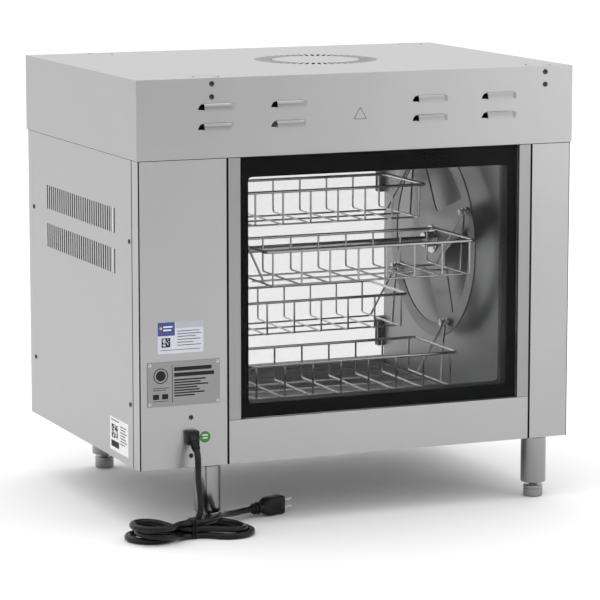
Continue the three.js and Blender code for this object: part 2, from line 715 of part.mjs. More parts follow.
// One basket, hanging by an eye at each end from the pin whose centre is given.
function basket([pinY, pinZ]) {
  const half = basketLength / 2;
  const side = basketWidth / 2;
  const rimZ = -basketDrop;
  const floorZ = rimZ - basketDepth;
  const rim = box([-half, half], [-side, side], [rimZ - rimWire / 2, rimZ + rimWire / 2]).subtract(
    box([-half + rimWire, half - rimWire], [-side + rimWire, side - rimWire],
      [rimZ - rimWire, rimZ + rimWire]));

  const outside = side - rimWire / 2 + crossWire / 2;
  const inside = outside - crossWire;
  const low = floorZ - crossWire / 2;
  const high = floorZ + crossWire / 2;
  const section = [
    [-outside, rimZ], [-outside, low], [outside, low], [outside, rimZ],
    [inside, rimZ], [inside, high], [-inside, high], [-inside, rimZ],
  ];
  const pitch = (basketLength - 2 * crossInset) / (crossWires - 1);
  const crosses = Array.from({ length: crossWires }, (_, i) => {
    const x = -half + crossInset + i * pitch;
    return prism("X", section, x - crossWire / 2, x + crossWire / 2);
  });
  const lengthways = Array.from({ length: floorWires }, (_, i) => {
    const y = (i - (floorWires - 1) / 2) * (basketWidth / 3);
    return box([-half + crossInset - 2, half - crossInset + 2],
      [y - crossWire / 2, y + crossWire / 2], [low - crossWire + 0.5, low + 0.5]);
  });

  const eyeX = (wheelRight - wheelLeft - wheelSheet - pinLength) / 2;
  const atRim = half + hangerWire / 2 - 0.5;
  const foot = half - crossInset;
  const hangers = [-1, 1].flatMap((end) => {
    const eye = bar(pinRadius + runningGap + hangerWire, [end * (eyeX - 2), 0, 0],
      [end * (eyeX + 2), 0, 0], 12);
    const legs = [-1, 1].flatMap((way) => {
      const y = (z) => (way * hangerSpread * z) / (2 * floorZ);
      return [
        bar(hangerWire / 2, [end * eyeX, y(-5), -5], [end * atRim, y(rimZ), rimZ], 4),
        bar(hangerWire / 2, [end * atRim, y(rimZ - 0.5), rimZ + 0.5],
          [end * foot, y(floorZ), floorZ], 4),
      ];
    });
    return [eye, ...legs];
  });
  const bores = [-1, 1].map((end) => bar(pinRadius + runningGap,
    [end * (eyeX - 6), 0, 0], [end * (eyeX + 6), 0, 0]));
  const whole = joined([rim, ...crosses, ...lengthways, ...hangers]);
  return cutBy(whole, bores).translate([cavityCentreX, pinY, pinZ]);
}

// ---- drip tray ----------------------------------------------------------------------------

function dripTray() {
  const across = [cavityLeft + traySideGap, cavityRight - traySideGap];
  const bottom = underside + trayRise;
  const front = doorFront - gap - sheet;
  const rear = innerBack - trayRearGap;
  const pan = box(across, [front, rear], [bottom, trayTop]).subtract(
    box([across[0] + sheet, across[1] - sheet], [front + sheet, rear - sheet],
      [bottom + sheet, trayTop + 1]));
  const lap = trayFrontLap + 2;
  const face = box([across[0] - lap, across[1] + lap], [front, front + sheet],
    [underside + trayRise - lap, underside + trayRise + trayHeight + lap - 1]);
  const lipHalf = 60;
  const lipZ = trayTop - 6;
  const lip = box([cavityCentreX - lipHalf, cavityCentreX + lipHalf], [front - trayLip, front + 0.5],
    [lipZ, lipZ + 2]);
  const turnDown = box([cavityCentreX - lipHalf, cavityCentreX + lipHalf],
    [front - trayLip, front - trayLip + 2], [lipZ - 9, lipZ + 1]);
  return joined([pan, face, lip, turnDown]);
}

// ---- controls -----------------------------------------------------------------------------

const panelBack = doorFront + sheet;

function knob(z) {
  const face = doorFront - 1;
  const along = (from, to, radius, sides) =>
    bar(radius, [controlX, from, z], [controlX, to, z], sides);
  const skirt = along(face, face - 6, knobRadius, 28);
  const grip = along(face - 5, face - knobDepth, knobRadius * 0.72, 20);
  const pointer = box([controlX - 3, controlX + 3], [face - knobDepth - 1.5, face - 6],
    [z - knobRadius * 0.7, z + knobRadius * 0.92]);
  const stem = along(face - 1, panelBack + 14, knobShaft, 16);
  return joined([skirt, grip, pointer, stem]);
}

// The regulator behind a knob, bored for the knob's stem.
function regulator(z) {
  const body = box([controlX - 21, controlX + 21], [panelBack + 3, panelBack + 41], [z - 18, z + 18]);
  const collar = bar(9, [controlX, panelBack + gap, z], [controlX, panelBack + 5, z]);
  const bore = bar(knobShaft + runningGap, [controlX, panelBack - 2, z],
    [controlX, panelBack + 16, z]);
  return joined([body, collar]).subtract(bore);
}

const rockerX = [-1, 1].map((side) => controlX + (side * switchSpread) / 2);
const rockerY = doorFront + 3;

function switchHousing() {
  const z = switchZ;
  const halfX = switchSpread / 2 + rockerWidth / 2 + 4 - gap;
  const halfZ = rockerHeight / 2 + 4 - gap;
  const body = box([controlX - halfX, controlX + halfX], [doorFront - 1, doorFront + 28],
    [z - halfZ, z + halfZ]);
  const bezel = box([controlX - halfX - 3, controlX + halfX + 3],
    [doorFront - gap - 2, doorFront - gap], [z - halfZ - 3, z + halfZ + 3]);
  const pockets = rockerX.map((x) => box([x - rockerWidth / 2, x + rockerWidth / 2],
    [doorFront - 5, rockerY + 13], [z - rockerHeight / 2 - 1.5, z + rockerHeight / 2 + 1.5]));
  return cutBy(joined([body, bezel]), pockets);
}

// A rocker at rest with its lower half pressed in.
function rocker(x) {
  const half = rockerHeight / 2 - 0.8;
  const face = rockerY - doorFront + 4;
  const outline = [
    [6, -half * 0.5], [6, half * 0.5], [0, half], [-face, half], [-face + 1.4, 0], [-face, -half],
    [0, -half],
  ];
  const geometry = geometryOf(prism("X", outline, -rockerWidth / 2 + gap, rockerWidth / 2 - gap));
  geometry.rotateX(THREE.MathUtils.degToRad(rockerTilt));
  return solidOf(geometry.translate(x, rockerY, switchZ));
}

function pilotLamp() {
  const z = pilotZ;
  const lens = bar(8, [controlX, doorFront - gap - 3, z], [controlX, doorFront - gap, z]);
  const body = bar(5, [controlX, doorFront - 1, z], [controlX, doorFront + 20, z]);
  return joined([lens, body]);
}

// ---- legs ---------------------------------------------------------------------------------

function legPlaces() {
  const xs = [halfW - legInsetControl, -halfW + legInsetPlain];
  const y = halfD - legInsetFaces;
  return [[xs[0], y], [xs[1], y], [xs[0], -y], [xs[1], -y]];
}

// A leg tube with a bore for the foot's stem, open at the bottom.
function leg([x, y]) {
  const bottom = footHeight + 4;
  const bore = footStem + runningGap;
  const boreTop = bottom + 50;
  const profile = [
    [bore, bottom], [legRadius - 1.5, bottom], [legRadius, bottom + 1.5],
    [legRadius, underside - gap], [0, underside - gap], [0, boreTop], [bore, boreTop],
    [bore, bottom],
  ];
  return turned(profile, 24, x, y);
}

function foot([x, y]) {
  const stemTop = footHeight + footTravel + 12;
  const profile = [
    [0, 0], [footRadius - 2, 0], [footRadius, 2], [footRadius, footHeight - 1.5],
    [footRadius - 1.5, footHeight], [footStem, footHeight], [footStem, stemTop], [0, stemTop],
  ];
  return turned(profile, 20, x, y);
}

// ---- mains cord ---------------------------------------------------------------------------

// The gland's block outside the panel, its neck through the hole and its sloping tapered sleeve.
function strainRelief() {
  const half = glandSize / 2;
  const neck = half - 3 - gap;
  const block = box([cordX - half, cordX + half], [halfD + gap, halfD + glandDepth],
    [glandZ - half, glandZ + half]);
  const through = box([cordX - neck, cordX + neck], [halfD - 10, halfD + 1],
    [glandZ - neck, glandZ + neck]);
  const sleeve = new THREE.CylinderGeometry(cordRadius + 1, cordRadius + 3, sleeveLength, 16)
    .translate(0, sleeveLength / 2, 0)
    .rotateX(THREE.MathUtils.degToRad(-sleeveSlope))
    .translate(cordX, halfD + 6, glandZ + 0.8);
  return joined([block, through, solidOf(sleeve)]);
}

// The cord from the sleeve down to the top of the tied hank.
const dropPoints = [
  [285, 290.8, 133], [285.3, 295.7, 127.2], [285.9, 299.4, 120.3], [286.6, 301.7, 112.7],
  [287.2, 302.6, 104.9], [287.5, 303.3, 95], [287.2, 304, 85], [286.3, 304.8, 75],
  [285.3, 305.5, 65], [284.7, 306, 56], [284.7, 306.3, 48], [285.4, 306.5, 40],
  [286.9, 306.7, 33.5],
];

// The cord from the hank's inner side to the plug, lying over the loops and down to the plug.
const tailPoints = [
  [228.6, 261.6, 20.8], [220.6, 254.9, 19], [212.4, 249, 17.6], [204.2, 243.3, 16.7],
  [195.8, 237.8, 16.1], [187.1, 232.6, 15.7], [177.8, 227.9, 15.5], [168.2, 224.1, 15.4],
];

function cordTube(points) {
  const curve = new THREE.CatmullRomCurve3(points.map((point) => new THREE.Vector3(...point)));
  const steps = Math.ceil(curve.getLength() / (4 * cordRadius));
  return tube(cordRadius, curve, steps).translate(...cordShift);
}

// The outer shape of the tied loops: a stadium in plan.
function cordHank() {
  const radius = hankWidth / 2;
  const straight = hankLength / 2 - radius;
  const outline = [];
  for (const end of [1, -1])
    for (let i = 0; i <= 10; i++) {
      const [a, b] = onCircle(radius, -90 + 18 * i);
      outline.push([hankCentre[0] + end * (straight + a), hankCentre[1] + end * b]);
    }
  return prism("Z", outline, gap, hankHeight);
}

// A band over the hank's waist, hugging its sides and top.
function hankTie() {
  const inner = hankWidth / 2 + gap;
  const outer = inner + tieThickness;
  const across = [-tieWidth / 2, tieWidth / 2];
  const top = [hankHeight + gap, hankHeight + gap + tieThickness];
  return joined([
    box(across, [-outer, -inner], [gap, top[1]]),
    box(across, [inner, outer], [gap, top[1]]),
    box(across, [-outer, outer], top),
  ]).translate([hankCentre[0] + tieOffset, hankCentre[1], 0]);
}

// Boot, grip and blades along +X, standing on the grip's edge, then turned to lie with the cord.
function powerPlug() {
  const half = plugHeight / 2;
  const boot = solidOf(new THREE.CylinderGeometry(8.5, 6.5, 24, 14).rotateZ(-Math.PI / 2)
    .translate(12.4, 0, 0));
  const grip = prism("Y", [
    [23, -9], [31, -half + 1], [60, -half], [64, -half + 3], [64, half - 3], [60, half],
    [31, half - 1], [23, 9],
  ], -11, 11);
  const blades = [-6.35, 6.35].map((z) => box([63, 83], [-6.7, -0.4], [z - 0.8, z + 0.8]));
  const earth = bar(2.4, [63, 7, 0], [86, 7, 0], 12);
  return joined([boot, grip, ...blades, earth]).rotate([0, 0, plugTurn])
    .translate(plugPlace).translate(cordShift);
}

// ---- the assembly -------------------------------------------------------------------------

add("base_pan", basePan(), stainless());
add("hood_cover", hoodCover(), stainless());
add("control_side_panel", controlSidePanel(), stainless());
add("plain_side_panel", sidePanel(-1), stainless());
add("rear_control_panel", rearControlPanel(), stainless());
add("rear_corner_panel", cornerPanel(-1, 1, cornerWidth, rearFlange), stainless());
add("front_control_panel", frontControlPanel(), stainless());
add("front_corner_panel", cornerPanel(-1, -1, cornerWidth, frontFlange), stainless());
add("front_frame", frontFrame(), stainless());
add("rear_sill", rearSill(), stainless());
add("rear_jamb_control", rearJamb(faceRight, -1), stainless());
add("rear_jamb_plain", rearJamb(faceLeft, 1), stainless());
add("rear_glass_outer", rearGlassOuter(), glass());
add("rear_glass_inner", rearGlassInner(), glass());
add("nameplate", nameplate(), polished());

add("cavity_wall_control", cavityWallControl(), polished());
add("cavity_wall_plain", cavityWallPlain(), polished());
add("cavity_floor", cavityBottom(), polished());
add("cavity_ceiling", cavityCeiling(), polished());
add("heating_element_front", heatingElement(-1), darkSteel());
add("heating_element_rear", heatingElement(1), darkSteel());
add("cavity_lamp", cavityLamp(1), glass());

add("door_glass", doorGlass(), glass());
add("door_handle", doorHandle(), plastic());
["lower", "upper"].forEach((place, i) => {
  add(`door_hinge_${place}`, doorHinge(hingeMiddles[i]), darkSteel());
  add(`body_hinge_${place}`, bodyHinge(hingeMiddles[i]), darkSteel());
});
add("drip_tray", dripTray(), stainless());

add("wheel_idle", wheel(wheelLeft, 1), polished());
add("wheel_drive", wheel(wheelRight, -1), polished());
add("carousel_shaft", carouselShaft(), polished());
add("idle_bearing", idleBearing(), darkSteel());
add("gearmotor", gearmotor(), darkSteel());
pinPlaces.forEach((place, i) => add(`basket_${i + 1}`, basket(place), chrome()));

add("thermostat_knob", knob(thermostatZ), plastic());
add("timer_knob", knob(timerZ), plastic());
add("thermostat", regulator(thermostatZ), plastic());
add("timer", regulator(timerZ), plastic());
add("switch_housing", switchHousing(), plastic());
add("rotation_rocker", rocker(rockerX[0]), plastic());
add("light_rocker", rocker(rockerX[1]), plastic());
add("pilot_lamp", pilotLamp(), amber());

["rear_control", "rear_plain", "front_control", "front_plain"].forEach((place, i) => {
  add(`leg_${place}`, leg(legPlaces()[i]), stainless());
  add(`foot_${place}`, foot(legPlaces()[i]), stainless());
});

add("strain_relief", strainRelief(), plastic());
add("power_cord_drop", cordTube(dropPoints), rubber());
add("cord_hank", cordHank(), rubber());
add("hank_tie", hankTie(), plastic());
add("power_cord_tail", cordTube(tailPoints), rubber());
add("power_plug", powerPlug(), plastic());

oven.position.y = (frontReach - rearReach) / 2;

export default oven;
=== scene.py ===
# The looks of a countertop rotisserie oven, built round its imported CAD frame.
# Lengths are in metres, and in millimetres inside mm(), in_mm() and the tables that go through
# them. +Z is up, +Y is the customer's side, +X the control compartment.
import math
import random

import bmesh
import bpy
from mathutils import Matrix, Vector


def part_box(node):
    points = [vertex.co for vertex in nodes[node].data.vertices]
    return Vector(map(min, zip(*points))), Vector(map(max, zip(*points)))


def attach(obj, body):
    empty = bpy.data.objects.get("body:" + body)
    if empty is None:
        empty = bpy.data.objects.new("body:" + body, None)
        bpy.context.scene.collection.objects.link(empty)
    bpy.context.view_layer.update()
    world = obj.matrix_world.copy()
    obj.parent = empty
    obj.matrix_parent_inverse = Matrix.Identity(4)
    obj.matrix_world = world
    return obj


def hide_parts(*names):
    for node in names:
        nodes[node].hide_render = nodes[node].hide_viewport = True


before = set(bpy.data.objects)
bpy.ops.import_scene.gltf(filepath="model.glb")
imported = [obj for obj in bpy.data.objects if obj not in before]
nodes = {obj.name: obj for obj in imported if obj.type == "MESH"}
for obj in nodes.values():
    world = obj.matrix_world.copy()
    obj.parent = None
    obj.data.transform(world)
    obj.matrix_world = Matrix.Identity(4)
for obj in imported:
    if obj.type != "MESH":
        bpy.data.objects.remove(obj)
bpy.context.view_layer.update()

random.seed(7)  # turns the screws and fills the printed codes
MM = 0.001
scene = bpy.context.scene


def mm(*values):
    """Millimetres to metres, as one number or a vector."""
    return values[0] * MM if len(values) == 1 else Vector(values) * MM


def low(node):
    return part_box(node)[0]


def high(node):
    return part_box(node)[1]


def middle(node):
    return (low(node) + high(node)) / 2


CORNERS = ("rear_control", "rear_plain", "front_control", "front_plain")
body_y = middle("base_pan").y  # the body's middle plane, from which the cord and label are laid


# ---- camera, light and floor ----

CAMERA_AZIMUTH = math.radians(157.09)
CAMERA_ELEVATION = math.radians(8.92)
CAMERA_DISTANCE = 5.224
CAMERA_LENS = 188.4
CAMERA_TARGET = Vector((-0.0195, 0, 0.3045))


def place_in_scene(name, data):
    made = bpy.data.objects.new(name, data)
    scene.collection.objects.link(made)
    return made


def make_camera():
    back = Vector((
        math.sin(CAMERA_AZIMUTH) * math.cos(CAMERA_ELEVATION),
        -math.cos(CAMERA_AZIMUTH) * math.cos(CAMERA_ELEVATION),
        math.sin(CAMERA_ELEVATION)))
    data = bpy.data.cameras.new("camera")
    data.lens = CAMERA_LENS
    data.sensor_width = 36
    data.clip_end = 100
    camera = place_in_scene("camera", data)
    camera.location = CAMERA_TARGET + back * CAMERA_DISTANCE
    camera.rotation_mode = "QUATERNION"
    camera.rotation_quaternion = (-back).to_track_quat("-Z", "Y")
    scene.camera = camera


def area_light(name, place, target, size, power):
    data = bpy.data.lights.new(name, "AREA")
    data.shape = "RECTANGLE"
    data.size, data.size_y = size
    data.energy = power
    light = place_in_scene(name, data)
    light.location = place
    light.rotation_euler = (Vector(target) - Vector(place)).to_track_quat("-Z", "Y").to_euler()


# the room's strength at two heights of the world's Generated Y, behind and before the customer face
ROOM_BEHIND, ROOM_BEFORE = (-0.5, 1.05), (0.9, 0.42)
SKY_STRENGTH, SKY_SPREAD = 1.35, math.radians(120)


def make_studio():
    """A white room of light, dimmer on the side that the customer face looks at."""
    world = bpy.data.worlds.new("studio")
    scene.world = world
    world.use_nodes = True
    tree = world.node_tree
    background = tree.nodes["Background"]
    coordinates = tree.nodes.new("ShaderNodeTexCoord")
    split = tree.nodes.new("ShaderNodeSeparateXYZ")
    ramp = tree.nodes.new("ShaderNodeMapRange")
    for end, (at, strength) in (("Min", ROOM_BEHIND), ("Max", ROOM_BEFORE)):
        ramp.inputs["From " + end].default_value = at
        ramp.inputs["To " + end].default_value = strength
    tree.links.new(coordinates.outputs["Generated"], split.inputs[0])
    tree.links.new(split.outputs["Y"], ramp.inputs["Value"])
    tree.links.new(ramp.outputs[0], background.inputs["Strength"])
    background.inputs["Color"].default_value = (1, 1, 1, 1)
    area_light("overhead", (0.2, 0.6, 3.6), (0, 0.3, 0), (3.0, 3.0), 16)
    area_light("side", (-1.5, 1.9, 0.9), (-0.1, 0.2, 0.35), (1.1, 1.3), 5)
    data = bpy.data.lights.new("sky", "SUN")
    data.energy = SKY_STRENGTH
    data.angle = SKY_SPREAD
    place_in_scene("sky", data)


def make_floor():
    mesh = bpy.data.meshes.new("floor")
    reach = 30
    corners = [(-reach, -reach, 0), (reach, -reach, 0), (reach, reach, 0), (-reach, reach, 0)]
    mesh.from_pydata(corners, [], [(0, 1, 2, 3)])
    material = bpy.data.materials.new("floor_paper")
    material.use_nodes = True
    shader = material.node_tree.nodes["Principled BSDF"]
    shader.inputs["Base Color"].default_value = (0.93, 0.93, 0.93, 1)
    shader.inputs["Roughness"].default_value = 0.9
    shader.inputs["Specular IOR Level"].default_value = 0.1
    mesh.materials.append(material)
    place_in_scene("floor", mesh)


scene.view_settings.view_transform = "Standard"
make_camera()
make_studio()
make_floor()


# ---- materials ----

BRUSH_DEPTH, MOULD_DEPTH = 0.00002, 0.00004  # of the bump


class Surface:
    """A node material with a Principled shader and a few helpers to grow its nodes."""

    def __init__(self, name, colour, roughness, metallic=0.0, **sockets):
        self.material = bpy.data.materials.new(name)
        self.material.use_nodes = True
        self.tree = self.material.node_tree
        self.shader = self.tree.nodes["Principled BSDF"]
        self.fill(self.shader, {"Base Color": (*colour, 1), "Roughness": roughness,
                                "Metallic": metallic, **sockets})
        self.colour = colour
        self.place = self.node("ShaderNodeTexCoord").outputs["Object"]

    def fill(self, node, inputs):
        """Sets a node's inputs, each to a value or to another node's output."""
        for socket, value in inputs.items():
            if isinstance(value, bpy.types.NodeSocket):
                self.tree.links.new(value, node.inputs[socket])
            else:
                node.inputs[socket].default_value = value

    def node(self, kind, inputs=None, **settings):
        made = self.tree.nodes.new(kind)
        for key, value in settings.items():
            setattr(made, key, value)
        self.fill(made, inputs or {})
        return made

    def noise(self, scale, stretch=(1, 1, 1), detail=3.0):
        mapping = self.node("ShaderNodeMapping", {"Scale": stretch, "Vector": self.place})
        return self.node("ShaderNodeTexNoise", {
            "Scale": scale, "Detail": detail, "Roughness": 0.55,
            "Vector": mapping.outputs[0]}).outputs["Fac"]

    def span(self, source, least, most, start=0.3, end=0.7):
        """Maps start to end onto least to most."""
        return self.node("ShaderNodeMapRange", {
            "From Min": start, "From Max": end, "To Min": least, "To Max": most,
            "Value": source}).outputs[0]

    def mix(self, factor, first, second):
        return self.node("ShaderNodeMix", {0: factor, 2: first, 3: second},
                         data_type="FLOAT").outputs[0]

    def multiply(self, first, second):
        return self.node("ShaderNodeMath", {0: first, 1: second}, operation="MULTIPLY").outputs[0]

    def tint(self, factor):
        """The base colour times a factor."""
        made = self.node("ShaderNodeVectorMath", {0: self.colour, "Scale": factor},
                         operation="SCALE")
        self.fill(self.shader, {"Base Color": made.outputs[0]})

    def rough(self, source):
        self.fill(self.shader, {"Roughness": source})

    def bump(self, height, strength, distance):
        made = self.node("ShaderNodeBump", {"Strength": strength, "Distance": distance,
                                            "Height": height})
        self.fill(self.shader, {"Normal": made.outputs[0]})


def brushed(name, colour, roughness, grain=700.0, along="X"):
    """Rolled and brushed sheet: fine lines along one axis, with soft clouding over them."""
    s = Surface(name, colour, roughness, metallic=1.0)
    slow, fast = 0.01, 1.0
    upright = (fast, fast, slow) if along == "Z" else (slow, slow, fast)
    level = {"X": (slow, fast, slow), "Y": (fast, slow, slow), "Z": (fast, fast, slow)}[along]
    lines_upright = s.noise(grain * 2, upright, detail=5)
    lines_level = s.noise(grain * 2, level, detail=5)
    normal = s.node("ShaderNodeNewGeometry").outputs["True Normal"]
    facing = s.node("ShaderNodeSeparateXYZ", {0: normal}).outputs["Z"]
    level_share = s.node("ShaderNodeMath", {0: facing}, operation="ABSOLUTE").outputs[0]
    lines = s.mix(s.span(level_share, 0, 1, 0.6, 0.8), lines_upright, lines_level)
    cloud = s.noise(5.0, detail=2)
    s.tint(s.multiply(s.span(lines, 0.96, 1.03), s.span(cloud, 0.97, 1.03)))
    s.rough(s.multiply(s.span(lines, roughness * 0.85, roughness * 1.2), s.span(cloud, 0.95, 1.06)))
    s.bump(lines, 0.2, BRUSH_DEPTH)
    return s.material


def plated(name, colour, roughness):
    """Bright plated wire with faint draw marks."""
    s = Surface(name, colour, roughness, metallic=1.0)
    marks = s.noise(420.0, detail=3)
    s.tint(s.span(marks, 0.9, 1.06))
    s.rough(s.span(marks, roughness * 0.7, roughness * 1.6))
    return s.material


def moulded(name, colour, roughness, grain=1500.0, specular=0.5):
    """Moulded plastic or rubber with a fine spark-eroded grain."""
    s = Surface(name, colour, roughness, **{"Specular IOR Level": specular})
    fine = s.noise(grain, detail=2)
    cloud = s.noise(25.0, detail=2)
    s.tint(s.span(cloud, 0.85, 1.2))
    s.rough(s.multiply(s.span(fine, roughness * 0.9, roughness * 1.1), s.span(cloud, 0.95, 1.05)))
    s.bump(fine, 0.4, MOULD_DEPTH)
    return s.material


def painted(name, colour, roughness, coat=0.0, specular=0.5):
    """Smooth ink or paint, with a little mottling."""
    s = Surface(name, colour, roughness, **{
        "Specular IOR Level": specular, "Coat Weight": coat, "Coat Roughness": 0.1})
    mottle = s.noise(60.0, detail=3)
    s.tint(s.span(mottle, 0.94, 1.05))
    s.rough(s.span(mottle, roughness * 0.9, roughness * 1.15))
    return s.material


def pane(name, colour, alpha):
    """Thin clear glass that lets the room's light through, with faint smears in its gloss."""
    s = Surface(name, colour, 0.03, Alpha=alpha, IOR=1.45)
    smears = s.noise(9.0, (1, 1, 0.4), detail=3)
    s.rough(s.span(smears, 0.02, 0.07))
    return s.material


stainless = brushed("stainless_sheet", (0.41, 0.41, 0.412), 0.34)
hood_steel = brushed("hood_sheet", (0.40, 0.40, 0.402), 0.34)
stainless_side = brushed("stainless_sheet_side", (0.41, 0.41, 0.412), 0.36, along="Y")
stainless_upright = brushed("stainless_sheet_upright", (0.31, 0.31, 0.312), 0.33, along="Z")
stainless_tube = brushed("stainless_tube", (0.30, 0.30, 0.302), 0.2, grain=900, along="Z")
liner = brushed("cavity_liner_sheet", (0.37, 0.37, 0.372), 0.42, grain=500, along="Z")
liner_floor = brushed("cavity_floor_sheet", (0.58, 0.58, 0.582), 0.26, grain=500)
wheel_steel = brushed("wheel_sheet", (0.27, 0.27, 0.272), 0.36, grain=600, along="Y")
plate_metal = brushed("plate_metal", (0.27, 0.27, 0.272), 0.3, grain=1200)
wire_metal = plated("bright_wire", (0.66, 0.66, 0.665), 0.16)
rivet_metal = plated("rivet_steel", (0.66, 0.66, 0.67), 0.2)
dark_screw = plated("screw_blackened", (0.07, 0.07, 0.072), 0.18)
hinge_metal = plated("hinge_dark_steel", (0.34, 0.34, 0.345), 0.32)
element_metal = plated("element_sheath", (0.13, 0.13, 0.135), 0.42)
gear_paint = painted("gearmotor_paint", (0.05, 0.052, 0.055), 0.45)
blade_metal = plated("plug_blades", (0.62, 0.61, 0.58), 0.22)
black_plastic = moulded("black_plastic", (0.006, 0.006, 0.0065), 0.38, specular=0.35)
rocker_plastic = moulded("rocker_plastic", (0.02, 0.02, 0.021), 0.3)
plug_plastic = moulded("plug_moulding", (0.004, 0.004, 0.0045), 0.36, specular=0.3)
cord_rubber = moulded("cord_jacket", (0.003, 0.003, 0.0034), 0.3, grain=900, specular=0.3)
black_print = painted("black_glass_print", (0.0035, 0.0035, 0.0035), 0.3, specular=0.02)
# black for gaps and recesses, and also for the shadow painted under the hood's edge
dark_gap_and_shadow = painted("dark_recess_and_shadow", (0.003, 0.003, 0.003), 0.8, specular=0.1)
ink = painted("plate_ink", (0.015, 0.015, 0.016), 0.6, specular=0.2)
faint_ink = painted("label_ink", (0.12, 0.12, 0.13), 0.6)
label_white = painted("label_paper", (0.62, 0.63, 0.70), 0.55)
label_grey = painted("label_paper_grey", (0.45, 0.46, 0.50), 0.55)
white_paper = painted("barcode_paper", (0.80, 0.80, 0.80), 0.55)
label_blue = painted("label_blue", (0.012, 0.045, 0.24), 0.4, coat=0.4)
label_yellow = painted("label_yellow", (0.75, 0.42, 0.04), 0.5)
label_green = painted("label_green", (0.035, 0.22, 0.028), 0.5)
knob_print = painted("knob_print", (0.75, 0.75, 0.74), 0.5)
amber_lens = moulded("amber_lens", (0.80, 0.22, 0.02), 0.18, grain=300)
clear_pane = pane("clear_pane", (0.02, 0.022, 0.021), 0.05)
door_pane = pane("door_pane", (0.30, 0.34, 0.325), 0.09)
inner_print = pane("inner_pane_print", (0.006, 0.006, 0.006), 0.5)
glass_edge = pane("glass_edge", (0.16, 0.26, 0.22), 0.62)
lamp_glass = pane("lamp_glass", (0.75, 0.74, 0.70), 0.55)


# ---- building blocks ----

def add_object(name, data, material, body="body", place=None):
    """An object with its material, riding on a body; most ride on the oven's own."""
    made = place_in_scene(name, data)
    if place is not None:
        made.matrix_world = place
    data.materials.append(material)
    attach(made, body)
    return made


def add_mesh(name, bm, material, body="body", sharp_degrees=35):
    """An object shaded smooth, but for edges that turn by more than an angle."""
    bmesh.ops.remove_doubles(bm, verts=bm.verts, dist=1e-7)
    bmesh.ops.recalc_face_normals(bm, faces=bm.faces)
    limit = math.radians(sharp_degrees)
    for face in bm.faces:
        face.smooth = True
    for edge in bm.edges:
        edge.smooth = len(edge.link_faces) == 2 and edge.calc_face_angle() < limit
    mesh = bpy.data.meshes.new(name)
    bm.to_mesh(mesh)
    bm.free()
    return add_object(name, mesh, material, body)


def in_mm(profile):
    """A lathe profile given in millimetres."""
    return [(mm(radius), mm(along)) for radius, along in profile]


def lathe(bm, profile, origin, axis, sides=48):
    """Turns a profile of (radius, distance along the axis) pairs about an axis through origin."""
    turn = Vector((0, 0, 1)).rotation_difference(Vector(axis)).to_matrix()
    rings = []
    for radius, along in profile:
        if radius < 1e-9:
            rings.append([bm.verts.new(Vector(origin) + turn @ Vector((0, 0, along)))])
            continue
        ring = []
        for i in range(sides):
            a = 2 * math.pi * i / sides
            spot = Vector((radius * math.cos(a), radius * math.sin(a), along))
            ring.append(bm.verts.new(Vector(origin) + turn @ spot))
        rings.append(ring)
    for first, second in zip(rings, rings[1:]):
        for i in range(sides):
            j = (i + 1) % sides
            corners = [first[i % len(first)], first[j % len(first)],
                       second[j % len(second)], second[i % len(second)]]
            unique = list(dict.fromkeys(corners))
            if len(unique) > 2:
                bm.faces.new(unique)


def turned(name, profile, origin, axis, sides, material, body="body", sharp_degrees=35):
    """An object that is one lathed form."""
    bm = bmesh.new()
    lathe(bm, profile, origin, axis, sides)
    return add_mesh(name, bm, material, body, sharp_degrees)


def join_rings(bm, rings):
    for first, second in zip(rings, rings[1:]):
        for i in range(len(first)):
            j = (i + 1) % len(first)
            bm.faces.new((first[i], first[j], second[j], second[i]))


def block(bm, lowest, highest, turn=None, bevel=0.0, segments=2):
    """A box with rounded edges, turned about its middle if asked."""
    made = bmesh.ops.create_cube(bm, size=1)["verts"]
    centre = (Vector(lowest) + Vector(highest)) / 2
    size = Vector(highest) - Vector(lowest)
    for v in made:
        v.co = Vector((v.co.x * size.x, v.co.y * size.y, v.co.z * size.z)) + centre
    if bevel:
        edges = {e for v in made for e in v.link_edges}
        made = bmesh.ops.bevel(bm, geom=list(edges), offset=bevel, segments=segments,
                               profile=0.5, affect="EDGES")["verts"]
    if turn is not None:
        bmesh.ops.transform(
            bm, verts=list(set(made)),
            matrix=Matrix.Translation(centre) @ turn.to_4x4() @ Matrix.Translation(-centre))
    return made


PRINT_THICKNESS = mm(0.12)


def flat_bars(name, bars, material, axis, depth):
    """Thin raised rectangles on a face. A bar is (left, right, low, high) in the face's plane."""
    bm = bmesh.new()
    for a0, a1, b0, b1 in bars:
        if axis == "Y":
            block(bm, (a0, depth, b0), (a1, depth + PRINT_THICKNESS, b1))
        else:
            block(bm, (depth, a0, b0), (depth + PRINT_THICKNESS, a1, b1))
    return add_mesh(name, bm, material)


def wire_curve(name, wires, material, body="body", sides=6):
    """Round wires as one curve object. Each wire is (radius, points, closed)."""
    data = bpy.data.curves.new(name, "CURVE")
    data.dimensions = "3D"
    data.bevel_depth = MM
    data.bevel_resolution = sides // 2
    data.use_fill_caps = True
    for radius, points, closed in wires:
        spline = data.splines.new("POLY")
        spline.points.add(len(points) - 1)
        for spot, co in zip(spline.points, points):
            spot.co = (*co, 1)
            spot.radius = radius / MM
        spline.use_cyclic_u = closed
        spline.use_smooth = True
    return add_object(name, data, material, body)


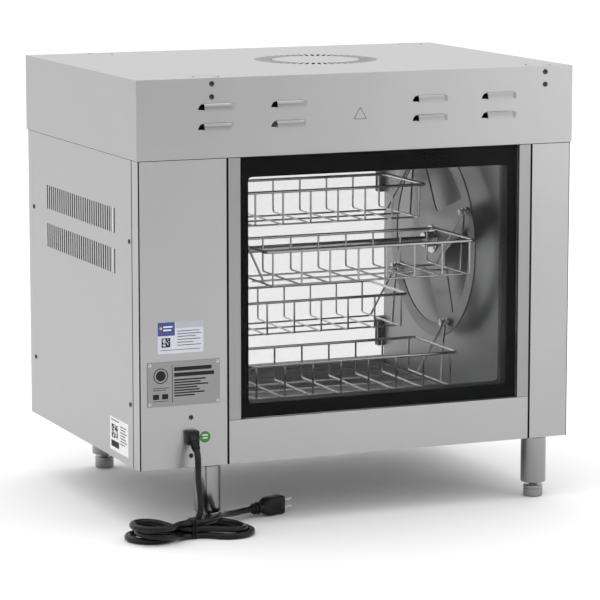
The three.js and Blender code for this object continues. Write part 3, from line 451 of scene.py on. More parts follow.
def rounded(points, radius, closed=False, steps=5):
    """A path with its corners rounded by a radius."""
    points = [Vector(p) for p in points]
    count = len(points)
    out = []
    for i, here in enumerate(points):
        if not closed and i in (0, count - 1):
            out.append(here)
            continue
        before = points[i - 1] - here
        after = points[(i + 1) % count] - here
        angle = before.angle(after)
        reach = min(radius / math.tan(angle / 2), before.length * 0.48, after.length * 0.48)
        start = here + before.normalized() * reach
        end = here + after.normalized() * reach
        for k in range(steps + 1):
            t = k / steps
            out.append(start * (1 - t) ** 2 + here * 2 * t * (1 - t) + end * t ** 2)
    return out


def flat_shape(name, outlines, thickness, material, place, body="body", bevel=0.0):
    """A plate from closed outlines in its own XY plane, the first outside, the rest holes."""
    data = bpy.data.curves.new(name, "CURVE")
    data.dimensions = "2D"
    data.fill_mode = "BOTH"
    data.extrude = thickness / 2 - bevel
    data.bevel_depth = bevel
    data.bevel_resolution = 1
    for outline in outlines:
        spline = data.splines.new("POLY")
        spline.points.add(len(outline) - 1)
        for spot, (a, b) in zip(spline.points, outline):
            spot.co = (a, b, 0, 1)
        spline.use_cyclic_u = True
    return add_object(name, data, material, body, place)


def facing_y(y):
    """Places a flat shape's own XY on world XZ."""
    turn = Matrix(((1, 0, 0, 0), (0, 0, -1, 0), (0, 1, 0, 0), (0, 0, 0, 1)))
    return Matrix.Translation((0, y, 0)) @ turn


def facing_x(x, y=0.0, z=0.0):
    """Places a flat shape's own XY on world YZ."""
    turn = Matrix(((0, 0, 1, 0), (1, 0, 0, 0), (0, 1, 0, 0), (0, 0, 0, 1)))
    return Matrix.Translation((x, y, z)) @ turn


def rectangle(left, right, bottom, top, radius=0.0, steps=6):
    corners = [(left, bottom, 0), (right, bottom, 0), (right, top, 0), (left, top, 0)]
    if not radius:
        return [(x, y) for x, y, _ in corners]
    return [(p.x, p.y) for p in rounded(corners, radius, closed=True, steps=steps)]


def circle(x, y, radius, steps=64):
    return [(x + radius * math.cos(2 * math.pi * i / steps),
             y + radius * math.sin(2 * math.pi * i / steps)) for i in range(steps)]


# ---- the cord ----

CORD_DIAMETER = mm(10)
CORD_DROP = [
    (285, 290.8, 133), (285.3, 295.7, 127.2), (285.9, 299.4, 120.3), (286.6, 301.7, 112.7),
    (287.2, 302.6, 104.9), (287.5, 303.3, 95), (287.2, 304, 85), (286.3, 304.8, 75),
    (285.3, 305.5, 65), (284.7, 306, 56)]
CORD_OVER_LOOPS = [
    (290, 317.8, 25.9), (278, 315.6, 25.6), (266, 309.8, 25.2), (256, 301.2, 25.4),
    (248.6, 290.8, 25.4), (242.2, 279.6, 25.3), (236.4, 270.2, 23)]
CORD_TAIL = [
    (228.6, 261.6, 20.8), (220.6, 254.9, 19), (212.4, 249, 17.6), (204.2, 243.3, 16.7),
    (195.8, 237.8, 16.1), (187.1, 232.6, 15.7), (177.8, 227.9, 15.5), (168.2, 224.1, 15.4)]
GLAND_X, GLAND_Z = mm(285), mm(149.5)
TIE_X, TIE_Y = 301, 307.5
STRAND_PITCH = 10.4  # between strands that lie against each other
ENTRY_BEND = 40  # radius with which the cord turns from its drop into the tie


def cord_entry():
    """Down out of the drop and through the tie, on part of a circle."""
    centre_x, centre_z = 284.6 + ENTRY_BEND, 48
    out = []
    for i in range(8):
        a = math.radians(9 * i)
        out.append((
            centre_x - ENTRY_BEND * math.cos(a), TIE_Y - 1 + i / 7,
            centre_z - ENTRY_BEND * math.sin(a)))
    return out


def hank_loop(side, start, end, flare, bend, splay, heights):
    """One loop of the hank: out from start, round a fold of radius bend, and back to end."""
    half = abs(end[1] - start[1]) / 2
    turn = math.acos((flare + half) / (flare + bend))
    across = 1 if start[1] >= end[1] else -1
    flare_steps, bend_steps = 4, 10
    plan = []
    for i in range(flare_steps + 1):
        a = turn * i / flare_steps
        plan.append((flare * math.sin(a), half + flare * (1 - math.cos(a))))
    centre = (flare + bend) * math.sin(turn)
    for i in range(1, bend_steps):
        a = math.pi / 2 + turn - (math.pi + 2 * turn) * i / bend_steps
        plan.append((centre + bend * math.cos(a), bend * math.sin(a)))
    for i in range(flare_steps, -1, -1):
        a = turn * i / flare_steps
        plan.append((flare * math.sin(a), -half - flare * (1 - math.cos(a))))
    lengths = [0]
    for first, second in zip(plan, plan[1:]):
        lengths.append(lengths[-1] + math.dist(first, second))
    out = []
    for (u, w), length in zip(plan, lengths):
        share = length / lengths[-1]
        at = share * (len(heights) - 1)
        i = min(int(at), len(heights) - 2)
        z = heights[i] + (heights[i + 1] - heights[i]) * (at - i)
        lean = math.radians(splay) * min(1, max(0, (u - 4) / 40))
        x = start[0] + (end[0] - start[0]) * share + side * u
        out.append((x, (start[1] + end[1]) / 2 + across * w + u * math.tan(lean), z))
    return out


def cord_route():
    """Drop, three narrow loops away from the plug, two round ones towards it, and the tail."""
    floor, second, third = (5.2 + STRAND_PITCH * i for i in range(3))
    far, near = TIE_Y - STRAND_PITCH, TIE_Y + STRAND_PITCH
    out_x, in_x = TIE_X + 4, TIE_X - 4
    route = CORD_DROP + cord_entry()
    route += hank_loop(1, (313, TIE_Y), (out_x, far), 36, 34, -5,
                       [10.4, 6.2, 5.2, 5.2, 5.2, 5.2, 5.2, 5.2, floor])[1:]
    route += hank_loop(-1, (in_x, far), (in_x, near), 34, 38, 0, [floor, 5.2, 5.2, 5.2, floor])
    route += hank_loop(1, (out_x, near), (out_x, far), 38, 33, 4,
                       [floor, 8, 14, 16, 16, 16, 16, 16, second])
    route += hank_loop(-1, (in_x, far), (in_x, near), 36, 33, 0,
                       [second, 15.6, 15.2, 12, 9, 12, 15.2, 15.6, second])
    route += hank_loop(1, (out_x, near), (out_x, near + 0.01), 38, 33, -3,
                       [second, 19, 24.5, 26.8, 27.2, 27.2, 27, 26.4, third])
    return route + CORD_OVER_LOOPS + CORD_TAIL


def between(p, q, start, end, t):
    """The point at t on a line that is at p at start and at q at end."""
    return p * ((end - t) / (end - start)) + q * ((t - start) / (end - start))


def smooth_path(points, step):
    """A centripetal Catmull-Rom curve through the points, then evened out a little."""
    p = [Vector(q) for q in points]
    p = [2 * p[0] - p[1], *p, 2 * p[-1] - p[-2]]
    out = []
    for i in range(1, len(p) - 2):
        p0, p1, p2, p3 = p[i - 1:i + 3]
        t1 = (p1 - p0).length ** 0.5
        t2 = t1 + (p2 - p1).length ** 0.5
        t3 = t2 + (p3 - p2).length ** 0.5
        count = max(2, int((p2 - p1).length / step))
        for k in range(count):
            t = t1 + (t2 - t1) * k / count
            a1, a2, a3 = (between(p0, p1, 0, t1, t), between(p1, p2, t1, t2, t),
                          between(p2, p3, t2, t3, t))
            b1, b2 = between(a1, a2, 0, t2, t), between(a2, a3, t1, t3, t)
            out.append(between(b1, b2, t1, t2, t))
    out.append(p[-2])
    for _ in range(12):
        calm = [(a + c) / 4 + b / 2 for a, b, c in zip(out, out[1:], out[2:])]
        out = [out[0], *calm, out[-1]]
    return out


def make_cord():
    shift = Vector((0, body_y, 0))
    path = [q * MM + shift for q in smooth_path(cord_route(), 2.0)]
    data = bpy.data.curves.new("power_cord", "CURVE")
    data.dimensions = "3D"
    data.bevel_depth = CORD_DIAMETER / 2
    data.bevel_resolution = 6
    data.use_fill_caps = True
    spline = data.splines.new("POLY")
    spline.points.add(len(path) - 1)
    for spot, co in zip(spline.points, path):
        spot.co = (*co, 1)
    spline.use_smooth = True
    cord = add_object("power_cord", data, cord_rubber)
    length = sum((b - a).length for a, b in zip(path, path[1:]))
    return cord, path, length


def plug_frame():
    """The plug's own frame: X along its blades, Z up, origin where the cord enters."""
    turn = Matrix.Rotation(math.radians(199), 4, "Z")
    return Matrix.Translation(mm(167.8, 223.9, 15.4) + Vector((0, body_y, 0))) @ turn


def make_plug():
    """Moulded plug: ribbed boot, waisted grip with a shoulder, two blades and an earth pin."""
    place = plug_frame()
    bm = bmesh.new()
    boot = [(5.2, -1), (6.4, 0), (6.6, 4), (8.6, 4.6), (9.2, 6), (8.6, 7.4), (7.0, 8), (7.2, 11),
            (9.4, 11.6), (10.2, 13.2), (9.4, 14.8), (7.6, 15.4), (8.2, 20), (9.5, 25), (0, 25)]
    lathe(bm, [(0, -1)] + boot, (0, 0, 0), (1, 0, 0), 32)
    for v in bm.verts:
        v.co *= MM
    # the grip is a loft of rounded rectangles: distance, half height, half thickness
    stations = [(21, 8.0, 8.0), (24, 9.6, 9.0), (28, 12.2, 10.0), (32, 13.8, 10.6),
                (40, 14.4, 10.8), (50, 14.2, 10.6), (57, 14.8, 10.9), (60, 15.0, 11.0),
                (62.4, 14.6, 10.6), (64, 13.4, 9.6)]
    rings = []
    for along, half_z, half_y in stations:
        ring = []
        for y, z in rectangle(-half_y, half_y, -half_z, half_z, radius=4.2, steps=4):
            ring.append(bm.verts.new(Vector((along, y, z)) * MM))
        rings.append(ring)
    join_rings(bm, rings)
    bm.faces.new(rings[0][::-1])
    bm.faces.new(rings[-1])
    # finger ribs on both broad sides
    for side in (-1, 1):
        for i in range(4):
            x = 38 + 5 * i
            block(bm, mm(x, side * 10.6 - 0.6, -9), mm(x + 2, side * 10.6 + 0.5, 9), bevel=mm(0.5))
    body = add_mesh("plug_body", bm, plug_plastic, sharp_degrees=40)
    body.data.transform(place)

    bm = bmesh.new()
    for z in (-6.35, 6.35):
        block(bm, mm(63, -6.7, z - 0.8), mm(82.4, -0.4, z + 0.8), bevel=mm(0.5))
    lathe(bm, [(0, mm(63)), (mm(2.4), mm(63)), (mm(2.4), mm(83.5)), (mm(1.6), mm(85.4)),
               (0, mm(86))], mm(0, 7, 0), (1, 0, 0), 24)
    blades = add_mesh("plug_blades", bm, blade_metal)
    blades.data.transform(place)
    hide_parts("power_plug")
    return body, blades


def make_tie():
    """A round tie wound twice round the hank's waist."""
    wires = []
    half_y, top = 16.6, 32.4
    for offset in (-2.4, 2.4):
        x = TIE_X + offset
        section = [(x, TIE_Y - half_y, 1.3), (x, TIE_Y + half_y, 1.3),
                   (x, TIE_Y + half_y, top - 1), (x, TIE_Y + 4, top),
                   (x, TIE_Y - half_y, 23)]
        loop = [Vector(p) for p in rounded(section, 5, closed=True)]
        wires.append((mm(1.25), [p * MM + Vector((0, body_y, 0)) for p in loop], True))
    tie = wire_curve("cord_tie", wires, black_plastic)
    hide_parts("hank_tie")
    return tie


def make_strain_relief():
    """A square flanged gland with a ribbed sleeve that tapers onto the cord."""
    face = high("rear_control_panel").y
    centre = Vector((GLAND_X, face, GLAND_Z))
    half = mm(10.5)
    bm = bmesh.new()
    block(bm, centre + Vector((-half, mm(0.4), -half)), centre + Vector((half, mm(10), half)),
          bevel=mm(1.2), segments=3)
    block(bm, centre + Vector((-mm(7), -mm(6), -mm(7))), centre + Vector((mm(7), mm(1), mm(7))))
    slope = Vector((0, math.cos(math.radians(45)), -math.sin(math.radians(45))))
    profile = [(0, 0), (8.0, 0), (7.9, 6)]
    for i in range(5):
        at, radius = 8.2 + 3.2 * i, 7.7 - 0.32 * i
        profile += [(radius, at), (radius, at + 1.8), (radius - 1.1, at + 2.0),
                    (radius - 1.2, at + 2.9)]
    profile += [(5.9, 24.0), (5.3, 24.4), (0, 24.4)]
    lathe(bm, in_mm(profile), centre + Vector((0, mm(6), mm(0.8))), slope, 32)
    relief = add_mesh("strain_relief_sleeve", bm, plug_plastic)
    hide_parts("strain_relief")
    return relief


cord, cord_path, cord_length = make_cord()
plug_body, plug_blades = make_plug()
cord_tie = make_tie()
strain_relief = make_strain_relief()
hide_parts("power_cord_drop", "cord_hank", "power_cord_tail")


# ---- the frame's own sheet metal and glass ----

def dress(names, material, width=0.3):
    """Gives CAD nodes a material and small rounded edges."""
    for name in names:
        node = nodes[name]
        node.data.materials.clear()
        node.data.materials.append(material)
        weld = node.modifiers.new("weld", "WELD")
        weld.merge_threshold = mm(0.02)
        edges = node.modifiers.new("edges", "BEVEL")
        edges.width = mm(width)
        edges.segments = 2
        edges.limit_method = "ANGLE"
        edges.angle_limit = math.radians(30)


dress(["hood_cover"], hood_steel, 0.25)
dress(["base_pan", "rear_control_panel", "rear_corner_panel", "front_control_panel",
       "front_corner_panel", "front_frame", "rear_sill"], stainless)
dress(["control_side_panel", "plain_side_panel"], stainless_side)
dress(["rear_jamb_control", "rear_jamb_plain"], stainless_upright)
dress(["nameplate"], plate_metal, 0.25)
dress(["cavity_wall_control", "cavity_wall_plain", "cavity_ceiling"], liner)
dress(["cavity_floor", "drip_tray"], liner_floor, 0.4)
dress(["rear_glass_outer", "rear_glass_inner"], clear_pane, 0.5)
dress(["door_glass"], door_pane, 0.8)
dress(["door_hinge_lower", "body_hinge_lower", "door_hinge_upper", "body_hinge_upper"],
      hinge_metal, 0.4)
dress(["gearmotor"], gear_paint, 0.6)
dress(["thermostat", "timer", "switch_housing"], black_plastic, 0.5)
dress(["rotation_rocker", "light_rocker"], rocker_plastic, 0.9)


# ---- window border ----

# openings in the window's prints, in millimetres: left, right, bottom, top
CLEAR_WINDOW = (-261.5, 186, 193.5, 549.5)
SPACER_WINDOW = (-266, 191, 189, 554)
INNER_PRINT = (-267, 192, 188, 555)
INNER_PRINT_WINDOW = (-252, 189.5, 198, 552.5)


def inset(node, margin):
    """A node's outline in world XZ, drawn in by a margin."""
    lowest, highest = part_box(node)
    return rectangle(lowest.x + margin, highest.x - margin, lowest.z + margin, highest.z - margin)


def window(sides, radius=0.0):
    return rectangle(*[mm(side) for side in sides], radius=radius)


def make_border():
    """The black print round the rear window, between the panes, and the spacer behind it."""
    outer, inner = low("rear_glass_outer").y, high("rear_glass_inner").y
    outlines = [inset("rear_glass_outer", mm(0.3)), window(CLEAR_WINDOW, mm(7))]
    flat_shape("window_border", outlines, mm(0.4), black_print,
               facing_y(outer - mm(0.3)))
    outlines = [inset("rear_glass_outer", mm(5)), window(SPACER_WINDOW, mm(6))]
    deep = outer - inner - mm(1.4)
    flat_shape("pane_spacer", outlines, deep, black_print,
               facing_y(inner + mm(0.4) + deep / 2))


def make_inner_print():
    """A thinner print round the inner pane, which shows past the outer one from the side."""
    outlines = [window(INNER_PRINT), window(INNER_PRINT_WINDOW, mm(7))]
    flat_shape("inner_pane_print", outlines, mm(0.2), inner_print,
               facing_y(high("rear_glass_inner").y + mm(0.2)))


def make_door_edges():
    """The ground edges of the door glass, greener and less clear than its faces."""
    thick = high("door_glass").y - low("door_glass").y
    flat_shape("door_glass_edges", [inset("door_glass", 0), inset("door_glass", mm(1.6))],
               thick + mm(0.1), glass_edge, facing_y(middle("door_glass").y),
               body="door")


def make_hood_plugs():
    """A round cap with a dark rim in each of the hood's four recesses over the legs."""
    top = high("hood_cover").z
    caps, rims = bmesh.new(), bmesh.new()
    for place in CORNERS:
        x, y = middle("leg_" + place).x, middle("leg_" + place).y
        base = (x, y, top - mm(0.58))
        lathe(rims, in_mm([(18.6, 0), (20.9, 0), (20.9, 0.45), (18.6, 0.45),
                                                 (18.6, 0)]), base, (0, 0, 1), 64)
        lathe(caps, [(0, 0), (mm(19.4), 0), (mm(19.4), mm(0.4)), (mm(19), mm(0.54)),
                     (0, mm(0.56))], base, (0, 0, 1), 64)
    add_mesh("hood_caps", caps, hood_steel)
    add_mesh("hood_cap_rims", rims, dark_gap_and_shadow)


JAMB_SEAMS = (223, -301)  # x of the gaps beside the window's jambs
CORNER_RETURN = mm(28)  # how far the rear panels wrap round onto the sides


def make_seams():
    """The dark gaps between panels down the corners and beside the jambs, and a strip of painted
    shadow round the body under the hood's lower edge.
    """
    rear, front = high("rear_control_panel").y, low("front_control_panel").y
    left, right = low("plain_side_panel").x, high("control_side_panel").x
    hood, under = low("hood_cover").z, low("rear_control_panel").z
    lift = mm(0.15)
    bm = bmesh.new()
    # painted shadow: a black strip round the body just under the hood's edge, where the proud hood
    # would shade the panels
    for y0, y1 in ((rear, rear + lift), (front - lift, front)):
        block(bm, (left, y0, hood - mm(1.2)), (right, y1, hood + mm(2)))
    for x0, x1 in ((left - lift, left), (right, right + lift)):
        block(bm, (x0, front, hood - mm(1.2)), (x1, rear, hood + mm(2)))
    block(bm, (right - mm(2.4), rear, under), (right - mm(0.3), rear + lift, hood))
    block(bm, (left + mm(0.3), rear, under), (left + mm(1.2), rear + lift, hood))
    for x in JAMB_SEAMS:
        block(bm, (mm(x) - mm(1.7), rear, under), (mm(x) + mm(1.7), rear + lift, hood))
    y = rear - CORNER_RETURN
    for x0, x1 in ((right, right + lift), (left - lift, left)):
        block(bm, (x0, y - mm(1.1), under), (x1, y + mm(1.1), hood))
    add_mesh("panel_seams_and_hood_shadow", bm, dark_gap_and_shadow)


make_border()
make_inner_print()
make_door_edges()
make_hood_plugs()
make_seams()


# ---- carousel ----

SHAFT = middle("carousel_shaft")
WHEEL_RADIUS = mm(164)
PIN_CIRCLE = mm(146)
PIN_PHASE = 25.3  # degrees, first pin over the rear horizontal
WHEEL_SHEET = mm(2.5)
WINDOW_INNER, WINDOW_OUTER, WINDOW_HALF_ANGLE = mm(50), mm(141), 35
HUB_SCREW_CIRCLE = mm(18.5)
HUB = [(6.3, 0.8), (24, 0.8), (24, 2.2), (23, 3.2), (13.6, 3.4), (13, 4), (13, 17), (12, 18),
       (6.3, 18), (6.3, 0.8)]
HUB_SCREW = [(0, 3), (2.6, 3), (2.6, 4.2), (1.6, 5), (0, 5.1)]
PIN = [(0, 0), (7, 0.5), (7, 2.2), (6.2, 2.8), (3, 2.9), (3, 12.2), (5.4, 12.3), (6, 12.9),
       (6, 14.2), (5.2, 14.9), (0, 15)]


def polar(radius, degrees):
    return (radius * math.cos(math.radians(degrees)), radius * math.sin(math.radians(degrees)))


def make_wheel(node, side):
    """A pressed wheel with four rounded windows, a screwed hub and four collared pins."""
    x = (low(node).x + WHEEL_SHEET / 2) if side > 0 else (high(node).x - WHEEL_SHEET / 2)
    outlines = [circle(0, 0, WHEEL_RADIUS, 128), circle(0, 0, mm(6.3), 32)]
    for i in range(4):
        aim = PIN_PHASE + 45 + 90 * i
        arc = [polar(WINDOW_OUTER, aim + WINDOW_HALF_ANGLE * (1 - k / 6)) for k in range(13)]
        corners = [(*p, 0) for p in [polar(WINDOW_INNER, aim), *arc]]
        outlines.append([(p.x, p.y) for p in rounded(corners, mm(16), closed=True, steps=6)])
    place = facing_x(x, SHAFT.y, SHAFT.z)
    disc = flat_shape(node + "_disc", outlines, WHEEL_SHEET, wheel_steel, place,
                      body="carousel", bevel=mm(0.35))
    bm = bmesh.new()
    centre = Vector((x, SHAFT.y, SHAFT.z))
    inward = (side, 0, 0)
    lathe(bm, in_mm(HUB), centre, inward, 48)
    for i in range(4):
        y, z = polar(HUB_SCREW_CIRCLE, 45 + 90 * i)
        lathe(bm, in_mm(HUB_SCREW), centre + Vector((0, y, z)), inward, 16)
        y, z = polar(PIN_CIRCLE, PIN_PHASE + 90 * i)
        lathe(bm, in_mm(PIN), centre + Vector((0, y, z)), inward, 24)
    add_mesh(node + "_hub_and_pins", bm, wire_metal, body="carousel")
    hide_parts(node)


def make_shaft():
    shaft_low, shaft_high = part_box("carousel_shaft")
    length = shaft_high.x - shaft_low.x
    radius, chamfer = mm(6), mm(0.8)
    profile = [(0, 0), (radius - chamfer, 0), (radius, chamfer), (radius, length - chamfer),
               (radius - chamfer, length), (0, length)]
    shaft = turned("shaft_bar", profile, (shaft_low.x, SHAFT.y, SHAFT.z), (1, 0, 0), 32,
                   wire_metal, body="carousel")
    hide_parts("carousel_shaft")


def make_bearing():
    """A flanged bush in the plain cavity wall."""
    profile = [(6.6, -12), (10, -12), (10, 0.4), (17.2, 0.4), (18, 1.2), (18, 4), (17, 4.6),
               (11, 5), (10, 6), (6.6, 6), (6.6, -12)]
    wall = high("cavity_wall_plain").x
    bearing = turned("bearing_bush", in_mm(profile), (wall, SHAFT.y, SHAFT.z), (1, 0, 0), 48,
                     hinge_metal)
    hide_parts("idle_bearing")


make_wheel("wheel_idle", 1)
make_wheel("wheel_drive", -1)
make_shaft()
make_bearing()


# ---- baskets ----

BASKET_HALF = mm(187)
BASKET_SIDE = mm(83.5)
RIM_Z, FLOOR_Z = mm(-36.6), mm(-91.4)
RIM_WIRE, CROSS_WIRE, HANGER_WIRE = mm(2.5), mm(1.6), mm(1.8)  # radii
CROSS_INSET = mm(15)
EYE_X = mm(198.75)
EYE_TOP = mm(7.2)  # an eye's top over its pin


def basket_wires():
    """One basket's wires about its pin line: rim, cross wires, floor wires and hangers."""
    end, side = BASKET_HALF - RIM_WIRE, BASKET_SIDE - RIM_WIRE
    corners = [(-end, -side, RIM_Z), (end, -side, RIM_Z), (end, side, RIM_Z), (-end, side, RIM_Z)]
    wires = [(RIM_WIRE, rounded(corners, mm(11), closed=True, steps=6), True)]
    for i in range(8):
        x = -BASKET_HALF + CROSS_INSET + i * 2 * (BASKET_HALF - CROSS_INSET) / 7
        lean = side + mm(0.2)
        path = [(x, -lean, RIM_Z + mm(0.5)), (x, -lean, FLOOR_Z), (x, lean, FLOOR_Z),
                (x, lean, RIM_Z + mm(0.5))]
        wires.append((CROSS_WIRE, rounded(path, mm(5), steps=5), False))
    for i in (-1, 0, 1):
        y = i * 2 * BASKET_SIDE / 3
        reach = BASKET_HALF - CROSS_INSET + mm(2)
        z = FLOOR_Z - mm(2.7)
        wires.append((CROSS_WIRE, [Vector((-reach, y, z)), Vector((reach, y, z))], False))
    at_rim, foot = BASKET_HALF + mm(1.3), BASKET_HALF - CROSS_INSET
    for way in (-1, 1):
        eye = []
        for k in range(21):
            y, z = polar(mm(5.4), 222 - 264 * k / 20)
            eye.append((way * EYE_X, y, z))
        legs = [(way * foot, mm(-46), FLOOR_Z), (way * at_rim, mm(-18.4), RIM_Z)]
        path = legs + eye + [(x, -y, z) for x, y, z in reversed(legs)]
        wires.append((HANGER_WIRE, rounded(path, mm(4), steps=3), False))
    return wires


def make_baskets():
    for i in range(1, 5):
        node = f"basket_{i}"
        centre = Vector((middle(node).x, middle(node).y, high(node).z - EYE_TOP))
        wires = [(r, [p + centre for p in path], loop) for r, path, loop in basket_wires()]
        made = wire_curve(f"basket_wires_{i}", wires, wire_metal, sides=8, body=node)
        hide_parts(node)


make_baskets()


# ---- heaters and lamp ----

def make_elements():
    for node in ("heating_element_front", "heating_element_rear"):
        box_low, box_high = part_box(node)
        y, z = middle(node).y, middle(node).z
        bend = (box_high.y - box_low.y) / 2 - mm(4)
        turn_x = box_low.x + mm(4) + bend
        path = [Vector((box_high.x, y - bend, z))]
        for k in range(25):
            a, b = polar(bend, -90 - 180 * k / 24)
            path.append(Vector((turn_x + a, y + b, z)))
        path.append(Vector((box_high.x, y + bend, z)))
        tube = wire_curve(node + "_tube", [(mm(4), path, False)], element_metal,
                          sides=10)
        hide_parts(node)
        top = high("cavity_ceiling").z - mm(1.6)
        bm = bmesh.new()
        for x in (mm(-170), mm(120)):
            block(bm, (x - mm(4), y - bend - mm(8), z + mm(4.2)),
                  (x + mm(4), y + bend + mm(8), z + mm(5.6)), bevel=mm(0.4))
            block(bm, (x - mm(4), y - mm(1), z + mm(5)), (x + mm(4), y + mm(1), top))
        add_mesh(node + "_bracket", bm, element_metal)


def make_lamp():
    x, y = middle("cavity_lamp").x, middle("cavity_lamp").y
    seat = (x, y, high("cavity_lamp").z)
    dome = in_mm([(0, -25.6), (8, -24.8), (14.6, -22.4), (19.4, -18.2), (22.4, -12.6),
                  (23.6, -6.6), (23.6, -1), (0, -1)])
    dome = turned("lamp_dome", dome, seat, (0, 0, 1), 48, lamp_glass,
                  sharp_degrees=60)
    ring = in_mm([(23.9, 0), (28, 0), (28, -3.6), (26.6, -5.4), (24.4, -5.6), (23.9, -5),
                  (23.9, 0)])
    turned("lamp_ring", ring, seat, (0, 0, 1), 48, rivet_metal)
    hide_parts("cavity_lamp")


make_elements()
make_lamp()


# ---- door handle, controls ----

FRONT_Y = low("front_control_panel").y  # the operator's face, looking towards -Y
INK_FACE, INK_BACK = FRONT_Y - mm(0.15), FRONT_Y + mm(0.05)  # printed marks there


def make_handle():
    """A round grip with domed ends on two flared posts."""
    handle_low, handle_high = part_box("door_handle")
    radius = (handle_high.x - handle_low.x) / 2
    x, y = middle("door_handle").x, handle_low.y + radius
    length = handle_high.z - handle_low.z
    glass = low("door_glass").y
    bm = bmesh.new()
    dome = [(radius * math.cos(math.radians(a)), radius * math.sin(math.radians(a)) * 0.5)
            for a in (75, 60, 45, 30, 15, 0)]
    start = [(0, 0)] + [(r, radius / 2 - b) for r, b in dome]
    finish = [(r, length - radius / 2 + b) for r, b in reversed(dome)] + [(0, length)]
    waist = [(radius, length * 0.3), (radius * 0.94, length * 0.5), (radius, length * 0.7)]
    lathe(bm, start + waist + finish, (x, y, handle_low.z), (0, 0, 1), 40)
    post = abs(glass - y) - mm(0.4)
    for z in (handle_low.z + mm(14), handle_high.z - mm(14)):
        lathe(bm, [(0, 0), (mm(5.6), 0), (mm(5.4), post * 0.5), (mm(6), post * 0.8),
                   (mm(8.4), post - mm(2)), (mm(8.6), post), (0, post)], (x, y, z), (0, 1, 0), 32)
        inside = high("door_glass").y
        lathe(bm, [(0, mm(0.4)), (mm(7), mm(0.4)), (mm(6.6), mm(1.6)), (0, mm(1.9))],
              (x, inside, z), (0, 1, 0), 32)
    handle = add_mesh("handle_grip", bm, black_plastic, body="door")
    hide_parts("door_handle")


def make_knob(node, turn):
    """A fluted knob with a skirt and a pointer, and the printed dial round it."""
    x, z = middle(node).x, low(node).z + mm(21)
    face = FRONT_Y - mm(1)
    bm = bmesh.new()
    lathe(bm, in_mm([
        (0, 0), (20.2, 0), (21, 0.8), (21, 3.6), (20, 5.2), (17, 6.2), (15.4, 7.6)]),
          (x, face, z), (0, -1, 0), 56)
    rings = []
    flutes = 18
    for out, scale in [(7, 1.0), (19.4, 0.94), (21.2, 0.88), (22, 0.8)]:
        ring = []
        for i in range(flutes * 4):
            a = 2 * math.pi * i / (flutes * 4)
            radius = mm(15.2 - 0.9 * (0.5 + 0.5 * math.cos(flutes * a)) ** 2) * scale
            ring.append(bm.verts.new((x + radius * math.sin(a), face - mm(out),
                                      z + radius * math.cos(a))))
        rings.append(ring)
    join_rings(bm, rings)
    bm.faces.new(rings[-1])
    block(bm, (x - mm(2.6), face - mm(23.3), z - mm(12)), (x + mm(2.6), face - mm(6), z + mm(19)),
          bevel=mm(1.2), segments=3)
    knob = add_mesh(node + "_moulding", bm, black_plastic, body=node)
    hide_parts(node)
    bm = bmesh.new()
    block(bm, (x - mm(0.6), face - mm(23.42), z + mm(4)),
          (x + mm(0.6), face - mm(23.2), z + mm(18)))
    add_mesh(node + "_line", bm, knob_print, body=node)
    bm = bmesh.new()
    count = 11
    for i in range(count):
        a = turn * i / (count - 1)
        reach = 30 if i % 5 == 0 else 27.5  # every fifth mark is long
        mark = block(bm, (x - mm(0.5), INK_FACE, z + mm(24.5)),
                     (x + mm(0.5), INK_BACK, z + mm(reach)))
        bmesh.ops.transform(
            bm, verts=mark, matrix=Matrix.Translation((x, 0, z))
            @ Matrix.Rotation(math.radians(a), 4, "Y") @ Matrix.Translation((-x, 0, -z)))
    add_mesh(node + "_dial", bm, ink)


def make_switch_marks():
    """A bar and a stroke over each rocker."""
    for node in ("rotation_rocker", "light_rocker"):
        box_low, box_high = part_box(node)
        x, z = middle(node).x, middle(node).z
        bm = bmesh.new()
        block(bm, (x - mm(4), INK_FACE, box_high.z + mm(12)),
              (x + mm(4), INK_BACK, box_high.z + mm(13)))
        block(bm, (x - mm(0.5), INK_FACE, box_high.z + mm(14.5)),
              (x + mm(0.5), INK_BACK, box_high.z + mm(20)))
        add_mesh(node + "_label", bm, ink)


def make_pilot():
    x, z = middle("pilot_lamp").x, middle("pilot_lamp").z
    bezel = in_mm([(6.4, 0), (9.6, 0), (9.6, 1.4), (8.8, 2.2), (6.9, 2.2), (6.4, 1.6), (6.4, 0)])
    turned("pilot_bezel", bezel, (x, FRONT_Y - mm(0.2), z), (0, -1, 0), 40, black_plastic)
    lens = in_mm([(0, -18), (5, -18), (5, 0), (6.2, 0.4), (6.2, 1.6), (5.4, 2.5), (3.6, 3.1),
                  (0, 3.4)])
    lens = turned("pilot_lens", lens, (x, FRONT_Y, z), (0, -1, 0), 40, amber_lens)
    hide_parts("pilot_lamp")


make_handle()
make_knob("thermostat_knob", 300)
make_knob("timer_knob", 330)
make_switch_marks()
make_pilot()


# ---- legs and feet ----

def make_legs():
    """Four tubes with a rolled foot and a flared top, and the feet screwed up into them."""
    radius, thread, depth = mm(20.65), mm(7.1), mm(50)
    for place in CORNERS:
        leg, foot = "leg_" + place, "foot_" + place
        centre = (middle(leg).x, middle(leg).y, 0)
        bottom, top = low(leg).z, high(leg).z
        tube = [(thread, bottom), (radius - mm(2.2), bottom), (radius - mm(0.6), bottom + mm(0.8)),
                (radius, bottom + mm(2.4)), (radius, top - mm(2)),
                (radius + mm(1.6), top - mm(0.6)), (radius + mm(1.6), top), (0, top),
                (0, bottom + depth), (thread, bottom + depth), (thread, bottom)]
        made = turned(leg + "_tube", tube, centre, (0, 0, 1), 64, stainless_tube)
        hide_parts(leg)
        stem = high(foot).z
        pad = in_mm([(0, 0), (13.6, 0), (15.2, 0.8), (16, 2.4), (16, 12.5), (15.4, 13), (15.4, 14),
                     (16, 14.5), (16, 18.4), (14.8, 20), (6.5, 20)]) + [(mm(6.5), stem), (0, stem)]
        made = turned(foot + "_pad", pad, centre, (0, 0, 1), 64, stainless_tube,
                      body=foot)
        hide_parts(foot)


make_legs()


# ---- screws ----

